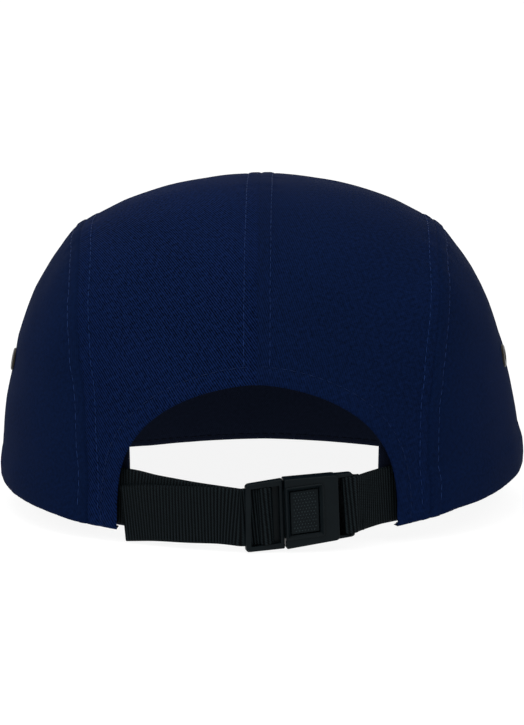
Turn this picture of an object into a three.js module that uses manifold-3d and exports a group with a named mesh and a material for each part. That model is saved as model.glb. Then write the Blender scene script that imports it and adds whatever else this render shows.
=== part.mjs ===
import * as THREE from 'three';
import { mergeVertices } from 'three/addons/utils/BufferGeometryUtils.js';
import Module from 'manifold-3d';

// Five panel cap in millimetres: X to the wearer's right, Y towards the peak, Z up.
// The crown is drawn from the plane of its rim, and the whole cap is then set on the floor.

// Crown
const crownHalfWidth = 94;
const crownHalfLength = 98;
const crownHeight = 112;
const seamHalfLength = 77;
const seamHeight = 94.3;
const stripHalfWidthRim = 57.5;
const stripHalfWidthTop = 63.4;
const frontPanelHeight = 91;
const clothThickness = 1.6;
const clothGap = 0.3;

// Roundness of the crown's lines: 2 is an ellipse, more is squarer
const seamRoundness = 2.6;
const backRoundness = 2.35;
const frontRoundness = 2.6;
const sideFullness = { left: 0.68, right: 0.77 };

// The rim rises between its back corners and the peak, more on the right
const rimRise = { left: 4.3, right: 7.2 };
const riseStartShare = 0.88;
const riseSharpness = 1.15;
const riseFadeHeight = 100;

// Back opening
const archHalfWidth = 47;
const archHeight = 48.9;
const archSpread = 1.7;
const archShoulder = 3.1;

// Sweatband
const bandHeight = 30;
const bandThickness = 1.2;
const bandEndHalfGap = 41.6;

// Peak
const peakLength = 67;
const peakHalfWidth = 85;
const peakRootHalfWidth = 80;
const peakThickness = 3.2;
const peakFlatHalfWidth = 26;
const peakRoundness = 2.5;
const peakSlope = 0.055;
const peakSideDrop = 6.1;
const peakClearance = 0.4;

// Eyelets
const eyeletDiameter = 8;
const eyeletHoleDiameter = 3.8;
const eyeletBarrelWall = 0.6;
const eyeletDome = 0.8;
const eyeletHeight = 45.5;
const eyeletBackset = 22;

// Webbing strap
const webbingWidth = 19.5;
const webbingThickness = 1.3;
const layerGap = 0.3;
const strapSeamAllowance = 7;
const strapEndClearance = 3;
const wallLean = 1.1;
const strapLap = 3;
const strapProud = 0.2;
const wrapLead = 2.4;

// Buckle
const buckleCentreX = 14.1;
const buckleCentreZ = 8.2;
const buckleRoll = 6;
const buckleHeight = 24.2;
const buckleCorner = 1.6;
const socketLength = 18.7;
const socketThickness = 7;
const frameLength = 12.7;
const frameThickness = 3.4;
const frameSideBar = 1.7;
const wrapBarDiameter = 1.9;
const endBarWidth = 2.6;
const endBarThickness = 2.2;
const armThickness = 4;
const tongueWidth = 16;
const tongueThickness = 2;
const tongueLength = 15;
const windowWidth = 9.6;
const windowHeight = 16;
const windowShift = -1.65;
const windowDrop = 0.8;
const padRecess = 0.5;
const windowRim = 0.9;
const windowRimHeight = 0.5;
const edgeBevel = 0.5;
const buckleClearance = 0.3;

const wasm = await Module();
wasm.setup();

const degrees = Math.PI / 180;
const halfTurn = Math.PI;
const up = new THREE.Vector3(0, 0, 1);

function clamp(value, low, high) {
  return Math.min(high, Math.max(low, value));
}

function mix(a, b, share) {
  return a + (b - a) * share;
}

function steps(count, from = 0, to = 1) {
  return Array.from({ length: count + 1 }, (_, i) => mix(from, to, i / count));
}

function signedPower(value, power) {
  return Math.sign(value) * Math.abs(value) ** power;
}

// The crown's sizes a given depth inside its outer face
const seamNormal = { across: 0.62, along: 0.78, up: 0.8 };

function crownAt(depth) {
  return {
    halfWidth: crownHalfWidth - depth,
    halfLength: crownHalfLength - depth,
    height: crownHeight - depth,
    seamLength: seamHalfLength - depth * seamNormal.along,
    seamHeight: seamHeight - depth * seamNormal.up,
    stripRim: stripHalfWidthRim - depth * seamNormal.across,
    stripTop: stripHalfWidthTop - depth * seamNormal.across,
  };
}

function stripHalfWidth(crown, z) {
  const share = clamp(z / crown.seamHeight, 0, 1);
  return mix(crown.stripRim, crown.stripTop, share ** 2);
}

// Rise of the rim, fading out with height
function rise(x, y, z) {
  const side = x < 0 ? 'left' : 'right';
  const share = clamp((y / crownHalfLength + riseStartShare) / (1 + riseStartShare), 0, 1);
  const fade = clamp(1 - z / riseFadeHeight, 0, 1);
  return rimRise[side] * Math.sin(halfTurn * share) ** riseSharpness * fade;
}

function raised(x, y, z) {
  return new THREE.Vector3(x, y, z + rise(x, y, z));
}

// Turn runs from the back rim, over the top, to the front rim
function seamPoint(crown, turn) {
  const power = 2 / seamRoundness;
  return {
    y: -crown.seamLength * signedPower(Math.cos(turn), power),
    z: crown.seamHeight * Math.max(Math.sin(turn), 0) ** power,
  };
}

function ridgePoint(crown, turn) {
  const power = 2 / (turn < halfTurn / 2 ? backRoundness : frontRoundness);
  return {
    y: -crown.halfLength * signedPower(Math.cos(turn), power),
    z: crown.height * Math.max(Math.sin(turn), 0) ** power,
  };
}

// The middle strip, between the side seams: share is 0 on the centre line and 1 at a seam
function stripPoint(crown, share, turn) {
  const ridge = ridgePoint(crown, turn);
  const seam = seamPoint(crown, turn);
  const blend = share ** 2;
  const x = share * stripHalfWidth(crown, seam.z);
  return raised(x, mix(ridge.y, seam.y, blend), mix(ridge.z, seam.z, blend));
}

function stripHeight(crown, share, turn) {
  return mix(ridgePoint(crown, turn).z, seamPoint(crown, turn).z, share ** 2);
}

// Turn at which a line of the strip reaches a height, on its back or its front half
function turnAtHeight(crown, share, height, front = false) {
  let low = 0;
  let high = halfTurn / 2;
  for (let i = 0; i < 40; i += 1) {
    const middle = (low + high) / 2;
    if (stripHeight(crown, share, front ? halfTurn - middle : middle) < height) low = middle;
    else high = middle;
  }
  const turn = (low + high) / 2;
  return front ? halfTurn - turn : turn;
}

// A side panel bulges out from its seam
function sideReach(crown, side, y, z) {
  const along = Math.abs(y / crown.seamLength) ** seamRoundness;
  const height = Math.abs(z / crown.seamHeight) ** seamRoundness;
  const share = clamp((along + height) ** (1 / seamRoundness), 0, 1);
  const edge = stripHalfWidth(crown, z);
  return edge + (crown.halfWidth - edge) * (1 - share ** 2) ** sideFullness[side];
}

function sidePoint(crown, side, y, z) {
  const x = sideReach(crown, side, y, z) * (side === 'left' ? -1 : 1);
  return raised(x, y, z);
}

// Solids
function closedGeometry(triangles) {
  const geometry = new THREE.BufferGeometry();
  const positions = triangles.flat().flatMap((point) => [point.x, point.y, point.z]);
  geometry.setAttribute('position', new THREE.Float32BufferAttribute(positions, 3));
  const merged = mergeVertices(geometry, 1e-4);
  const kept = [];
  const index = merged.index.array;
  for (let i = 0; i < index.length; i += 3) {
    const [a, b, c] = [index[i], index[i + 1], index[i + 2]];
    if (a !== b && b !== c && c !== a) kept.push([a, b, c]);
  }
  const place = merged.attributes.position;
  const corner = (i) => new THREE.Vector3().fromBufferAttribute(place, i);
  const volume = kept.reduce((sum, [a, b, c]) => sum + corner(a).dot(corner(b).cross(corner(c))), 0);
  merged.setIndex((volume < 0 ? kept.map(([a, b, c]) => [a, c, b]) : kept).flat());
  return merged;
}

// A wall between two grids of points, closed all round its edge
function wall(outer, inner) {
  const triangles = [];
  const quad = (a, b, c, d) => triangles.push([a, b, c], [a, c, d]);
  const last = outer.length - 1;
  const top = outer[0].length - 1;
  for (let i = 0; i < last; i += 1) {
    for (let j = 0; j < top; j += 1) {
      quad(outer[i][j], outer[i + 1][j], outer[i + 1][j + 1], outer[i][j + 1]);
      quad(inner[i][j], inner[i][j + 1], inner[i + 1][j + 1], inner[i + 1][j]);
    }
    quad(outer[i][0], inner[i][0], inner[i + 1][0], outer[i + 1][0]);
    quad(outer[i][top], outer[i + 1][top], inner[i + 1][top], inner[i][top]);
  }
  for (let j = 0; j < top; j += 1) {
    quad(outer[0][j], outer[0][j + 1], inner[0][j + 1], inner[0][j]);
    quad(outer[last][j], inner[last][j], inner[last][j + 1], outer[last][j + 1]);
  }
  return closedGeometry(triangles);
}

function toSolid(geometry) {
  const bare = geometry.clone();
  bare.deleteAttribute('normal');
  bare.deleteAttribute('uv');
  const merged = mergeVertices(bare, 1e-4);
  return new wasm.Manifold(new wasm.Mesh({
    numProp: 3,
    vertProperties: new Float32Array(merged.attributes.position.array),
    triVerts: new Uint32Array(merged.index.array),
  }));
}

function fromSolid(solid) {
  const mesh = solid.getMesh();
  const geometry = new THREE.BufferGeometry();
  geometry.setAttribute('position', new THREE.Float32BufferAttribute(mesh.vertProperties, 3));
  geometry.setIndex(Array.from(mesh.triVerts));
  return geometry;
}

// Materials
const cloth = new THREE.MeshStandardMaterial({ color: 0x16264a, roughness: 0.95, metalness: 0 });
const clothInside = new THREE.MeshStandardMaterial({ color: 0x0f1526, roughness: 0.95, metalness: 0 });
const webbing = new THREE.MeshStandardMaterial({ color: 0x16191c, roughness: 0.85, metalness: 0 });
const plastic = new THREE.MeshStandardMaterial({ color: 0x14171a, roughness: 0.45, metalness: 0 });
const metal = new THREE.MeshStandardMaterial({ color: 0x2a2724, roughness: 0.35, metalness: 1 });

const cap = new THREE.Group();

function add(name, geometry, material, parent = cap) {
  const mesh = new THREE.Mesh(geometry, material);
  mesh.name = name;
  parent.add(mesh);
  return mesh;
}

// Crown panels
const outerCrown = crownAt(0);
const innerCrown = crownAt(clothThickness);
const seamTrim = clothGap / 2 / stripHalfWidthRim;
const crossSeamTurn = turnAtHeight(outerCrown, 0, frontPanelHeight, true);
const crossSeamTrim = clothGap / 2 / crownHeight;

function panel(columns, rows, pointAt) {
  const grid = (crown) => columns.map((column) => rows.map((row) => pointAt(crown, column, row)));
  return wall(grid(outerCrown), grid(innerCrown));
}

function frontPanel() {
  const shares = steps(16, -1 + seamTrim, 1 - seamTrim);
  const turns = steps(9, crossSeamTurn + crossSeamTrim, halfTurn);
  return panel(shares, turns, stripPoint);
}

// Lower edge of a back panel: over the arch, then along the rim to the side seam
function backPanelColumns() {
  const columns = steps(11, halfTurn / 2, 0).map((angle) => {
    const x = archHalfWidth * Math.cos(angle) ** (2 / archSpread);
    const z = archHeight * Math.sin(angle) ** (2 / archShoulder);
    let share = x / stripHalfWidthRim;
    let turn = turnAtHeight(outerCrown, share, z);
    for (let i = 0; i < 4; i += 1) {
      share = x / stripHalfWidth(outerCrown, seamPoint(outerCrown, turn).z);
      turn = z > 0.01 ? turnAtHeight(outerCrown, share, z) : 0;
    }
    return { share: Math.max(share, seamTrim), turn };
  });
  const foot = columns[columns.length - 1].share;
  const rim = steps(3, foot, 1 - seamTrim).slice(1).map((share) => ({ share, turn: 0 }));
  return [...columns, ...rim];
}

function backPanel(sign) {
  return panel(backPanelColumns(), steps(15), (crown, column, height) => {
    const turn = mix(column.turn, crossSeamTurn - crossSeamTrim, height);
    return stripPoint(crown, sign * column.share, turn);
  });
}

// A side panel's grid fans out from the middle of its rim to the seam, with closer rows there.
// The panel is steep at the seam, so that a small trim opens the whole gap.
const sideRows = { count: 7, crowding: 1.6 };
const steepness = 12;

function sidePanel(side) {
  const reach = 1 - seamTrim / steepness;
  const rows = steps(sideRows.count).map((share) => reach * (1 - (1 - share) ** sideRows.crowding));
  return panel(steps(24, 0, halfTurn), rows, (crown, turn, share) => {
    const seam = seamPoint(crown, turn);
    return sidePoint(crown, side, seam.y * share, seam.z * share);
  });
}

// Place and outward direction of an eyelet on its side panel
function eyeletSeat(side) {
  const y = -eyeletBackset;
  const step = 1;
  const centre = sidePoint(outerCrown, side, y, eyeletHeight);
  const along = sidePoint(outerCrown, side, y + step, eyeletHeight).sub(centre);
  const above = sidePoint(outerCrown, side, y, eyeletHeight + step).sub(centre);
  const normal = along.cross(above).normalize();
  if (normal.x * centre.x < 0) normal.negate();
  return { centre, turn: new THREE.Quaternion().setFromUnitVectors(new THREE.Vector3(0, 1, 0), normal) };
}

const barrelRadius = eyeletHoleDiameter / 2 + eyeletBarrelWall;

function punchedSidePanel(side) {
  const seat = eyeletSeat(side);
  const punch = new THREE.CylinderGeometry(
    barrelRadius + clothGap, barrelRadius + clothGap, clothThickness * 6, 20,
  );
  punch.applyQuaternion(seat.turn);
  punch.translate(seat.centre.x, seat.centre.y, seat.centre.z);
  return fromSolid(toSolid(sidePanel(side)).subtract(toSolid(punch)));
}

// A set eyelet: a domed flange outside, a barrel through the cloth and a thin collar inside
function eyeletGeometry() {
  const hole = eyeletHoleDiameter / 2;
  const edge = eyeletDiameter / 2;
  const collarEdge = (edge + barrelRadius) / 2;
  const seat = clothGap;
  const back = -clothThickness - clothGap;
  const profile = [
    [hole, back - eyeletDome / 2],
    [collarEdge, back - eyeletDome / 2],
    [collarEdge, back],
    [barrelRadius, back],
    [barrelRadius, seat],
    [edge, seat],
    [edge - 0.1, seat + eyeletDome * 0.5],
    [mix(hole, edge, 0.65), seat + eyeletDome],
    [mix(hole, edge, 0.3), seat + eyeletDome * 0.9],
    [hole, seat + eyeletDome * 0.3],
    [hole, back - eyeletDome / 2],
  ];
  return new THREE.LatheGeometry(profile.map(([x, y]) => new THREE.Vector2(x, y)), 20);
}

add('front_panel', frontPanel(), cloth);
add('back_panel_left', backPanel(-1), cloth);
add('back_panel_right', backPanel(1), cloth);
for (const side of ['left', 'right']) {
  add(`side_panel_${side}`, punchedSidePanel(side), cloth);
  const seat = eyeletSeat(side);
  const eyelet = add(`eyelet_${side}`, eyeletGeometry(), metal);
  eyelet.position.copy(seat.centre);
  eyelet.quaternion.copy(seat.turn);
}

// Outline of the crown at a height: back left corner, left side, front, right side, back right
function outlineStation(part, share) {
  return { part, share };
}

function outlinePoint(crown, station, z) {
  if (station.part === 'back' || station.part === 'front') {
    const turn = z > 0.01 ? turnAtHeight(crown, station.share, z, station.part === 'front')
      : (station.part === 'front' ? halfTurn : 0);
    return stripPoint(crown, station.share, turn);
  }
  const flat = clamp(z / crown.seamHeight, 0, 1) ** seamRoundness;
  const reach = crown.seamLength * (1 - flat) ** (1 / seamRoundness);
  return sidePoint(crown, station.part, -reach * Math.cos(halfTurn * station.share), z);
}

// Sweatband: it leaves room for the webbing that is sewn in behind it at the back
function sweatband() {
  const closeDepth = clothThickness + clothGap * 2;
  const backDepth = clothThickness + clothGap * 2 + wallLean + webbingThickness + layerGap;
  const endShare = bandEndHalfGap / stripHalfWidthRim;
  const stations = [
    ...steps(3, -endShare, -1).map((share) => outlineStation('back', share)),
    ...steps(18).slice(1).map((share) => outlineStation('left', share)),
    ...steps(14, -1, 1).slice(1).map((share) => outlineStation('front', share)),
    ...steps(18, 1, 0).slice(1).map((share) => outlineStation('right', share)),
    ...steps(3, 1, endShare).slice(1).map((share) => outlineStation('back', share)),
  ];
  const depthAt = (station) => {
    if (station.part === 'back') return backDepth;
    if (station.part === 'front') return closeDepth;
    return mix(backDepth, closeDepth, clamp(station.share * 4, 0, 1));
  };
  const grid = (extra) => stations.map((station) => (
    steps(3, 0, bandHeight).map((z) => outlinePoint(crownAt(depthAt(station) + extra), station, z))
  ));
  return wall(grid(0), grid(bandThickness));
}

add('sweatband', sweatband(), clothInside);

// Peak: its root follows the crown's rim, its middle is flat and its sides curl down
function peakUnderside(x, y, outward) {
  const plane = -peakSlope * (y - crownHalfLength);
  const beyond = Math.max(Math.abs(x) - peakFlatHalfWidth, 0);
  const toCorner = clamp(beyond / (peakRootHalfWidth - peakFlatHalfWidth), 0, 1);
  const root = (rise(x, y, 0) - plane) * toCorner * (1 - outward);
  const curl = peakSideDrop * (beyond / (peakHalfWidth - peakFlatHalfWidth)) ** 2;
  return plane + root - curl * outward;
}

function peak() {
  const around = crownAt(-peakClearance);
  const cornerShare = (side) => {
    let low = 0.5;
    let high = 1;
    for (let i = 0; i < 40; i += 1) {
      const middle = (low + high) / 2;
      if (Math.abs(outlinePoint(around, outlineStation(side, middle), 0).x) > peakRootHalfWidth) low = middle;
      else high = middle;
    }
    return low;
  };
  const root = [
    ...steps(7, cornerShare('left'), 1).map((share) => outlinePoint(around, outlineStation('left', share), 0)),
    ...steps(18, -1, 1).slice(1).map((share) => outlinePoint(around, outlineStation('front', share), 0)),
    ...steps(7, 1, cornerShare('right')).slice(1)
      .map((share) => outlinePoint(around, outlineStation('right', share), 0)),
  ];
  const lengths = [0];
  for (let i = 1; i < root.length; i += 1) lengths.push(lengths[i - 1] + root[i].distanceTo(root[i - 1]));
  const cornerY = root[0].y;
  const depth = crownHalfLength + peakLength - cornerY;
  const top = [];
  const bottom = [];
  root.forEach((start, i) => {
    const angle = halfTurn * (1 - lengths[i] / lengths[root.length - 1]);
    const edgeX = peakHalfWidth * signedPower(Math.cos(angle), 2 / peakRoundness);
    const edgeY = cornerY + depth * Math.max(Math.sin(angle), 0) ** (2 / peakRoundness);
    const column = steps(4).map((outward) => {
      const x = mix(start.x, edgeX, outward);
      const y = mix(start.y, edgeY, outward);
      return new THREE.Vector3(x, y, peakUnderside(x, y, outward));
    });
    bottom.push(column);
    top.push(column.map((point) => point.clone().addScaledVector(up, peakThickness)));
  });
  return wall(top, bottom);
}

add('peak', peak(), cloth);

// Line of the back opening in plan, a given depth inside the crown's outer face
function backLine(x, depth) {
  const drop = (crownHalfLength - seamHalfLength) / stripHalfWidthRim ** 2;
  const outward = new THREE.Vector3(2 * drop * x, -1, 0).normalize();
  return new THREE.Vector3(x, drop * x ** 2 - crownHalfLength, 0).addScaledVector(outward, -depth);
}

// The buckle is straight and lies along the back line at its middle
const buckle = new THREE.Group();
const backSlope = (2 * (crownHalfLength - seamHalfLength) * buckleCentreX) / stripHalfWidthRim ** 2;
buckle.position.copy(backLine(buckleCentreX, 0));
buckle.position.z = buckleCentreZ;
buckle.rotation.order = 'ZYX';
buckle.rotation.z = Math.atan(backSlope);
buckle.rotation.y = -buckleRoll * degrees;
buckle.updateMatrix();
cap.add(buckle);

const buckleUp = up.clone().applyEuler(buckle.rotation);

function onBuckle(x, y) {
  return { point: new THREE.Vector3(x, y, 0).applyMatrix4(buckle.matrix), across: buckleUp };
}

// Places along the buckle, from its middle
const endSlotLength = webbingThickness + layerGap * 2;
const buckleLength = frameLength + buckleClearance + socketLength + endSlotLength + endBarWidth;
const frameStart = -buckleLength / 2;
const frameEnd = frameStart + frameLength;
const socketStart = frameEnd + buckleClearance;
const socketEnd = socketStart + socketLength;
const wrapRadius = wrapBarDiameter / 2 + layerGap + webbingThickness / 2;
const wrapX = frameEnd - 2 - wrapRadius;
const slotHalfHeight = webbingWidth / 2 + buckleClearance;
const frameSlotStart = frameStart + frameSideBar;
const frameSlotEnd = wrapX + wrapRadius + webbingThickness / 2 + buckleClearance;
const layerPitch = webbingThickness + layerGap;
const endSlotEnd = socketEnd + endSlotLength;
const endBarX = endSlotEnd + endBarWidth / 2;

// A flat strap swept along its stations
function ribbon(stations) {
  const outer = [];
  const inner = [];
  const last = stations.length - 1;
  stations.forEach(({ point, across }, i) => {
    const before = stations[Math.max(i - 1, 0)].point;
    const after = stations[Math.min(i + 1, last)].point;
    const along = after.clone().sub(before).normalize();
    const width = across.clone().addScaledVector(along, -across.dot(along)).normalize();
    const face = along.clone().cross(width).normalize();
    const edge = (sideways, out) => point.clone()
      .addScaledVector(width, (sideways * webbingWidth) / 2)
      .addScaledVector(face, (out * webbingThickness) / 2);
    outer.push([edge(-1, 1), edge(1, 1)]);
    inner.push([edge(-1, -1), edge(1, -1)]);
  });
  return wall(outer, inner);
}

function smoothStations(rows, count) {
  const line = new THREE.CatmullRomCurve3(rows.map((row) => row.point), false, 'centripetal');
  return line.getSpacedPoints(count).map((point) => ({ point, across: up }));
}

function backStation(x, depth, z) {
  const point = backLine(x, depth);
  point.z = z;
  return { point, across: up };
}

// Depth of the strap where it is sewn in behind the cloth
const sewnDepth = clothThickness + clothGap + wallLean + webbingThickness / 2;
const footX = archHalfWidth;

// Middle of the first layer and of the free end doubled back over it: x as a share of the
// arch's half width, height above the buckle's left end as a share of the webbing's width
const firstLayer = [
  { x: -0.9, height: 0.215 },
  { x: -0.77, height: 0.175 },
  { x: -0.6, height: 0.105 },
  { x: -0.45, height: 0.05 },
  { x: -0.28, height: 0.02 },
];
const freeEnd = [
  { x: -0.25, height: -0.03 },
  { x: -0.5, height: -0.055 },
  { x: -0.75, height: -0.075 },
];
const sewnHeight = 0.24;
const freeEndHeight = -0.085;
const strapStandoff = 1;
const leftEnd = onBuckle(frameStart - strapStandoff * 2, 0).point;

function strapDepth(x) {
  const share = clamp((x - leftEnd.x) / (-footX - leftEnd.x), 0, 1);
  return mix(strapProud, sewnDepth, share ** 0.7);
}

function longStrap() {
  const heightAt = (share) => leftEnd.z + share * webbingWidth;
  const start = -footX - strapSeamAllowance;
  const deep = layerPitch * 1.5;
  const shallow = layerPitch * 0.5;
  const there = [
    backStation(start, sewnDepth, heightAt(sewnHeight)),
    backStation(-footX, sewnDepth, heightAt(sewnHeight)),
    ...firstLayer.map((row) => backStation(row.x * footX, strapDepth(row.x * footX), heightAt(row.height))),
    onBuckle(frameStart - strapStandoff, deep),
  ];
  const back = [
    onBuckle(frameStart - strapStandoff, shallow),
    ...freeEnd.map((row) => (
      backStation(row.x * footX, strapDepth(row.x * footX) - layerPitch, heightAt(row.height))
    )),
    backStation(-footX + strapEndClearance, sewnDepth - layerPitch, heightAt(freeEndHeight)),
  ];
  const wrap = steps(8, halfTurn / 2, -halfTurn / 2).map((angle) => (
    onBuckle(wrapX + wrapRadius * Math.cos(angle), wrapRadius * Math.sin(angle))
  ));
  return ribbon([
    ...smoothStations(there, 22),
    onBuckle(frameSlotStart + layerGap, deep),
    onBuckle(wrapX - wrapLead, mix(deep, wrapRadius, 0.7)),
    ...wrap,
    onBuckle(wrapX - wrapLead * 0.7, -wrapRadius * 0.85),
    onBuckle(frameSlotStart + layerGap, shallow),
    ...smoothStations(back, 18),
  ]);
}

// The short strap loops round the socket's end bar, and its outer layer is sewn into the cap
function shortStrap() {
  const loopRadius = endBarThickness / 2 + layerGap + webbingThickness / 2;
  const loopX = socketEnd + layerGap + webbingThickness / 2 + loopRadius;
  const barEnd = endSlotEnd + endBarWidth;
  const lapEnd = barEnd + webbingThickness * 3;
  const right = onBuckle(lapEnd, 0).point;
  const sewnZ = right.z + webbingWidth * 0.09;
  const come = [
    backStation(footX + strapSeamAllowance, sewnDepth, sewnZ),
    backStation(footX, sewnDepth, sewnZ),
    backStation(mix(right.x, footX, 0.5), sewnDepth * 0.5, mix(right.z, sewnZ, 0.6)),
    onBuckle(lapEnd, -layerPitch / 2),
  ];
  const loop = steps(6, -halfTurn / 2, -halfTurn * 1.5).map((angle) => (
    onBuckle(loopX + loopRadius * Math.cos(angle), loopRadius * Math.sin(angle))
  ));
  return ribbon([
    ...smoothStations(come, 12),
    onBuckle(barEnd + layerGap, -loopRadius),
    ...loop,
    onBuckle(barEnd + layerGap, loopRadius),
    onBuckle(lapEnd, layerPitch / 2),
    onBuckle(lapEnd + strapLap, layerPitch / 2),
  ]);
}

add('strap_long', longStrap(), webbing);
add('strap_short', shortStrap(), webbing);

// A plate in the buckle's plane with rounded corners and softened edges
function plate(x0, x1, halfHeight, thickness, corner, bevel) {
  const shape = new THREE.Shape();
  const r = corner - bevel;
  const [left, right] = [x0 + bevel, x1 - bevel];
  const top = halfHeight - bevel;
  shape.moveTo(left + r, -top);
  shape.lineTo(right - r, -top);
  shape.absarc(right - r, -top + r, r, -halfTurn / 2, 0, false);
  shape.absarc(right - r, top - r, r, 0, halfTurn / 2, false);
  shape.absarc(left + r, top - r, r, halfTurn / 2, halfTurn, false);
  shape.absarc(left + r, -top + r, r, halfTurn, halfTurn * 1.5, false);
  const geometry = new THREE.ExtrudeGeometry(shape, {
    depth: thickness - bevel * 2,
    bevelEnabled: true,
    bevelThickness: bevel,
    bevelSize: bevel,
    bevelSegments: 1,
    curveSegments: 4,
  });
  geometry.translate(0, 0, -(thickness - bevel * 2) / 2);
  geometry.rotateX(halfTurn / 2);
  return toSolid(geometry);
}

function block(x0, x1, y0, y1, z0, z1) {
  const geometry = new THREE.BoxGeometry(x1 - x0, y1 - y0, z1 - z0);
  geometry.translate((x0 + x1) / 2, (y0 + y1) / 2, (z0 + z1) / 2);
  return toSolid(geometry);
}

// A bar that webbing wraps round, from arm to arm
function roundBar(x, diameter) {
  const geometry = new THREE.CylinderGeometry(diameter / 2, diameter / 2, slotHalfHeight * 2 + 1, 12);
  geometry.rotateX(halfTurn / 2);
  geometry.translate(x, 0, 0);
  return toSolid(geometry);
}

const windowX = mix(socketStart, socketEnd, 0.5) + windowShift;
const outerFace = -socketThickness / 2;

// How far a joined piece is sunk into its neighbour, and how far a cut runs past a face
const joinDepth = 0.5;
const cutMargin = 1;

// Adjuster frame with the tongue and its push pad
function tongue() {
  const top = slotHalfHeight;
  const frame = plate(frameStart, frameEnd, buckleHeight / 2, frameThickness, buckleCorner, edgeBevel);
  const barFront = -frameThickness / 2;
  const barBack = shallowSide();
  const slot = block(frameSlotStart, frameSlotEnd, -frameThickness, frameThickness, -top, top);
  const underBar = block(
    frameStart - cutMargin, frameSlotStart + joinDepth, barBack, frameThickness, -top, top,
  );
  const wrapBar = roundBar(wrapX, wrapBarDiameter);
  const keeper = block(
    frameStart + edgeBevel / 2, frameSlotStart, barFront, barBack, -top - joinDepth, top + joinDepth,
  );
  const blade = block(
    frameEnd - joinDepth, frameEnd + tongueLength,
    -tongueThickness / 2, tongueThickness / 2, -tongueWidth / 2, tongueWidth / 2,
  );
  const pad = block(
    windowX - windowWidth / 2 + buckleClearance, windowX + windowWidth / 2 - buckleClearance,
    outerFace + padRecess, 0,
    -windowDrop - windowHeight / 2 + buckleClearance, -windowDrop + windowHeight / 2 - buckleClearance,
  );
  return fromSolid(frame.subtract(slot).subtract(underBar).add(keeper).add(wrapBar).add(blade).add(pad));
}

// The left bar ends in front of both layers of webbing
function shallowSide() {
  return layerPitch / 2 - webbingThickness / 2 - layerGap * 0.6;
}

// Socket with its window, the tongue's pocket and the end bar
function socket() {
  const armEnd = endSlotEnd + endBarWidth;
  const body = plate(socketStart, socketEnd, buckleHeight / 2, socketThickness, buckleCorner, edgeBevel);
  const arms = plate(
    socketEnd - buckleCorner * 2, armEnd, buckleHeight / 2, armThickness, buckleCorner, edgeBevel,
  );
  const barNose = endSlotEnd + endBarThickness / 2;
  const [low, high] = [-slotHalfHeight, slotHalfHeight];
  const endSlot = block(socketEnd, barNose, -armThickness, armThickness, low, high);
  const nose = roundBar(barNose, endBarThickness);
  const pastArms = armEnd + cutMargin;
  const overBar = block(barNose - joinDepth, pastArms, -armThickness, -endBarThickness / 2, low, high);
  const underBar = block(barNose - joinDepth, pastArms, endBarThickness / 2, armThickness, low, high);
  const pocket = block(
    socketStart - cutMargin, frameEnd + tongueLength + buckleClearance,
    -tongueThickness / 2 - buckleClearance, tongueThickness / 2 + buckleClearance,
    -tongueWidth / 2 - buckleClearance, tongueWidth / 2 + buckleClearance,
  );
  const window = block(
    windowX - windowWidth / 2, windowX + windowWidth / 2,
    outerFace - windowRimHeight - cutMargin, 0,
    -windowDrop - windowHeight / 2, -windowDrop + windowHeight / 2,
  );
  const rim = block(
    windowX - windowWidth / 2 - windowRim, windowX + windowWidth / 2 + windowRim,
    outerFace - windowRimHeight, 0,
    -windowDrop - windowHeight / 2 - windowRim, -windowDrop + windowHeight / 2 + windowRim,
  );
  return fromSolid(body.add(arms).add(rim).subtract(endSlot).subtract(overBar).subtract(underBar).add(nose)
    .subtract(pocket).subtract(window));
}

add('buckle_tongue', tongue(), plastic, buckle);
add('buckle_socket', socket(), plastic, buckle);

// The cap stands on the floor, with the origin under the middle of its box
cap.updateMatrixWorld(true);
const bounds = new THREE.Box3().setFromObject(cap, true);
cap.position.set(
  -(bounds.min.x + bounds.max.x) / 2,
  -(bounds.min.y + bounds.max.y) / 2,
  -bounds.min.z,
);
cap.updateMatrixWorld(true);

export default cap;
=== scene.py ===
import math

import bpy
import numpy as np
from mathutils import Matrix, Vector
from mathutils.kdtree import KDTree


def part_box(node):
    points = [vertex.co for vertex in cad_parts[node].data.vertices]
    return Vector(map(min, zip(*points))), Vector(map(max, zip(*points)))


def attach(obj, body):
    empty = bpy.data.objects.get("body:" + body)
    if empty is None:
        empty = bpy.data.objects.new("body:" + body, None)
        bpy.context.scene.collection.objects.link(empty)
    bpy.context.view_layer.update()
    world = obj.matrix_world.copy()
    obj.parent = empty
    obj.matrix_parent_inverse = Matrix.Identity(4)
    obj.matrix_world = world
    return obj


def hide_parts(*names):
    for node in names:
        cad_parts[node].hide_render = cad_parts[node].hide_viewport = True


# Five panel cap, seen from behind. Metres, X to the wearer's right, Y to the peak, Z up.
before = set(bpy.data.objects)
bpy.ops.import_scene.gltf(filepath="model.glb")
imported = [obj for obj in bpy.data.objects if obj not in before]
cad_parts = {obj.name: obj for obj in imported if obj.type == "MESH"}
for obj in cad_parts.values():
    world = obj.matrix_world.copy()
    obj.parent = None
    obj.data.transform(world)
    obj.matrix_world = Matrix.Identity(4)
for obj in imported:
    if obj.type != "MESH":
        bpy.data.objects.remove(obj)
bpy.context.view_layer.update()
bpy.ops.object.select_all(action="DESELECT")
seed = np.random.default_rng(12)
print("frame loaded")

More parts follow.
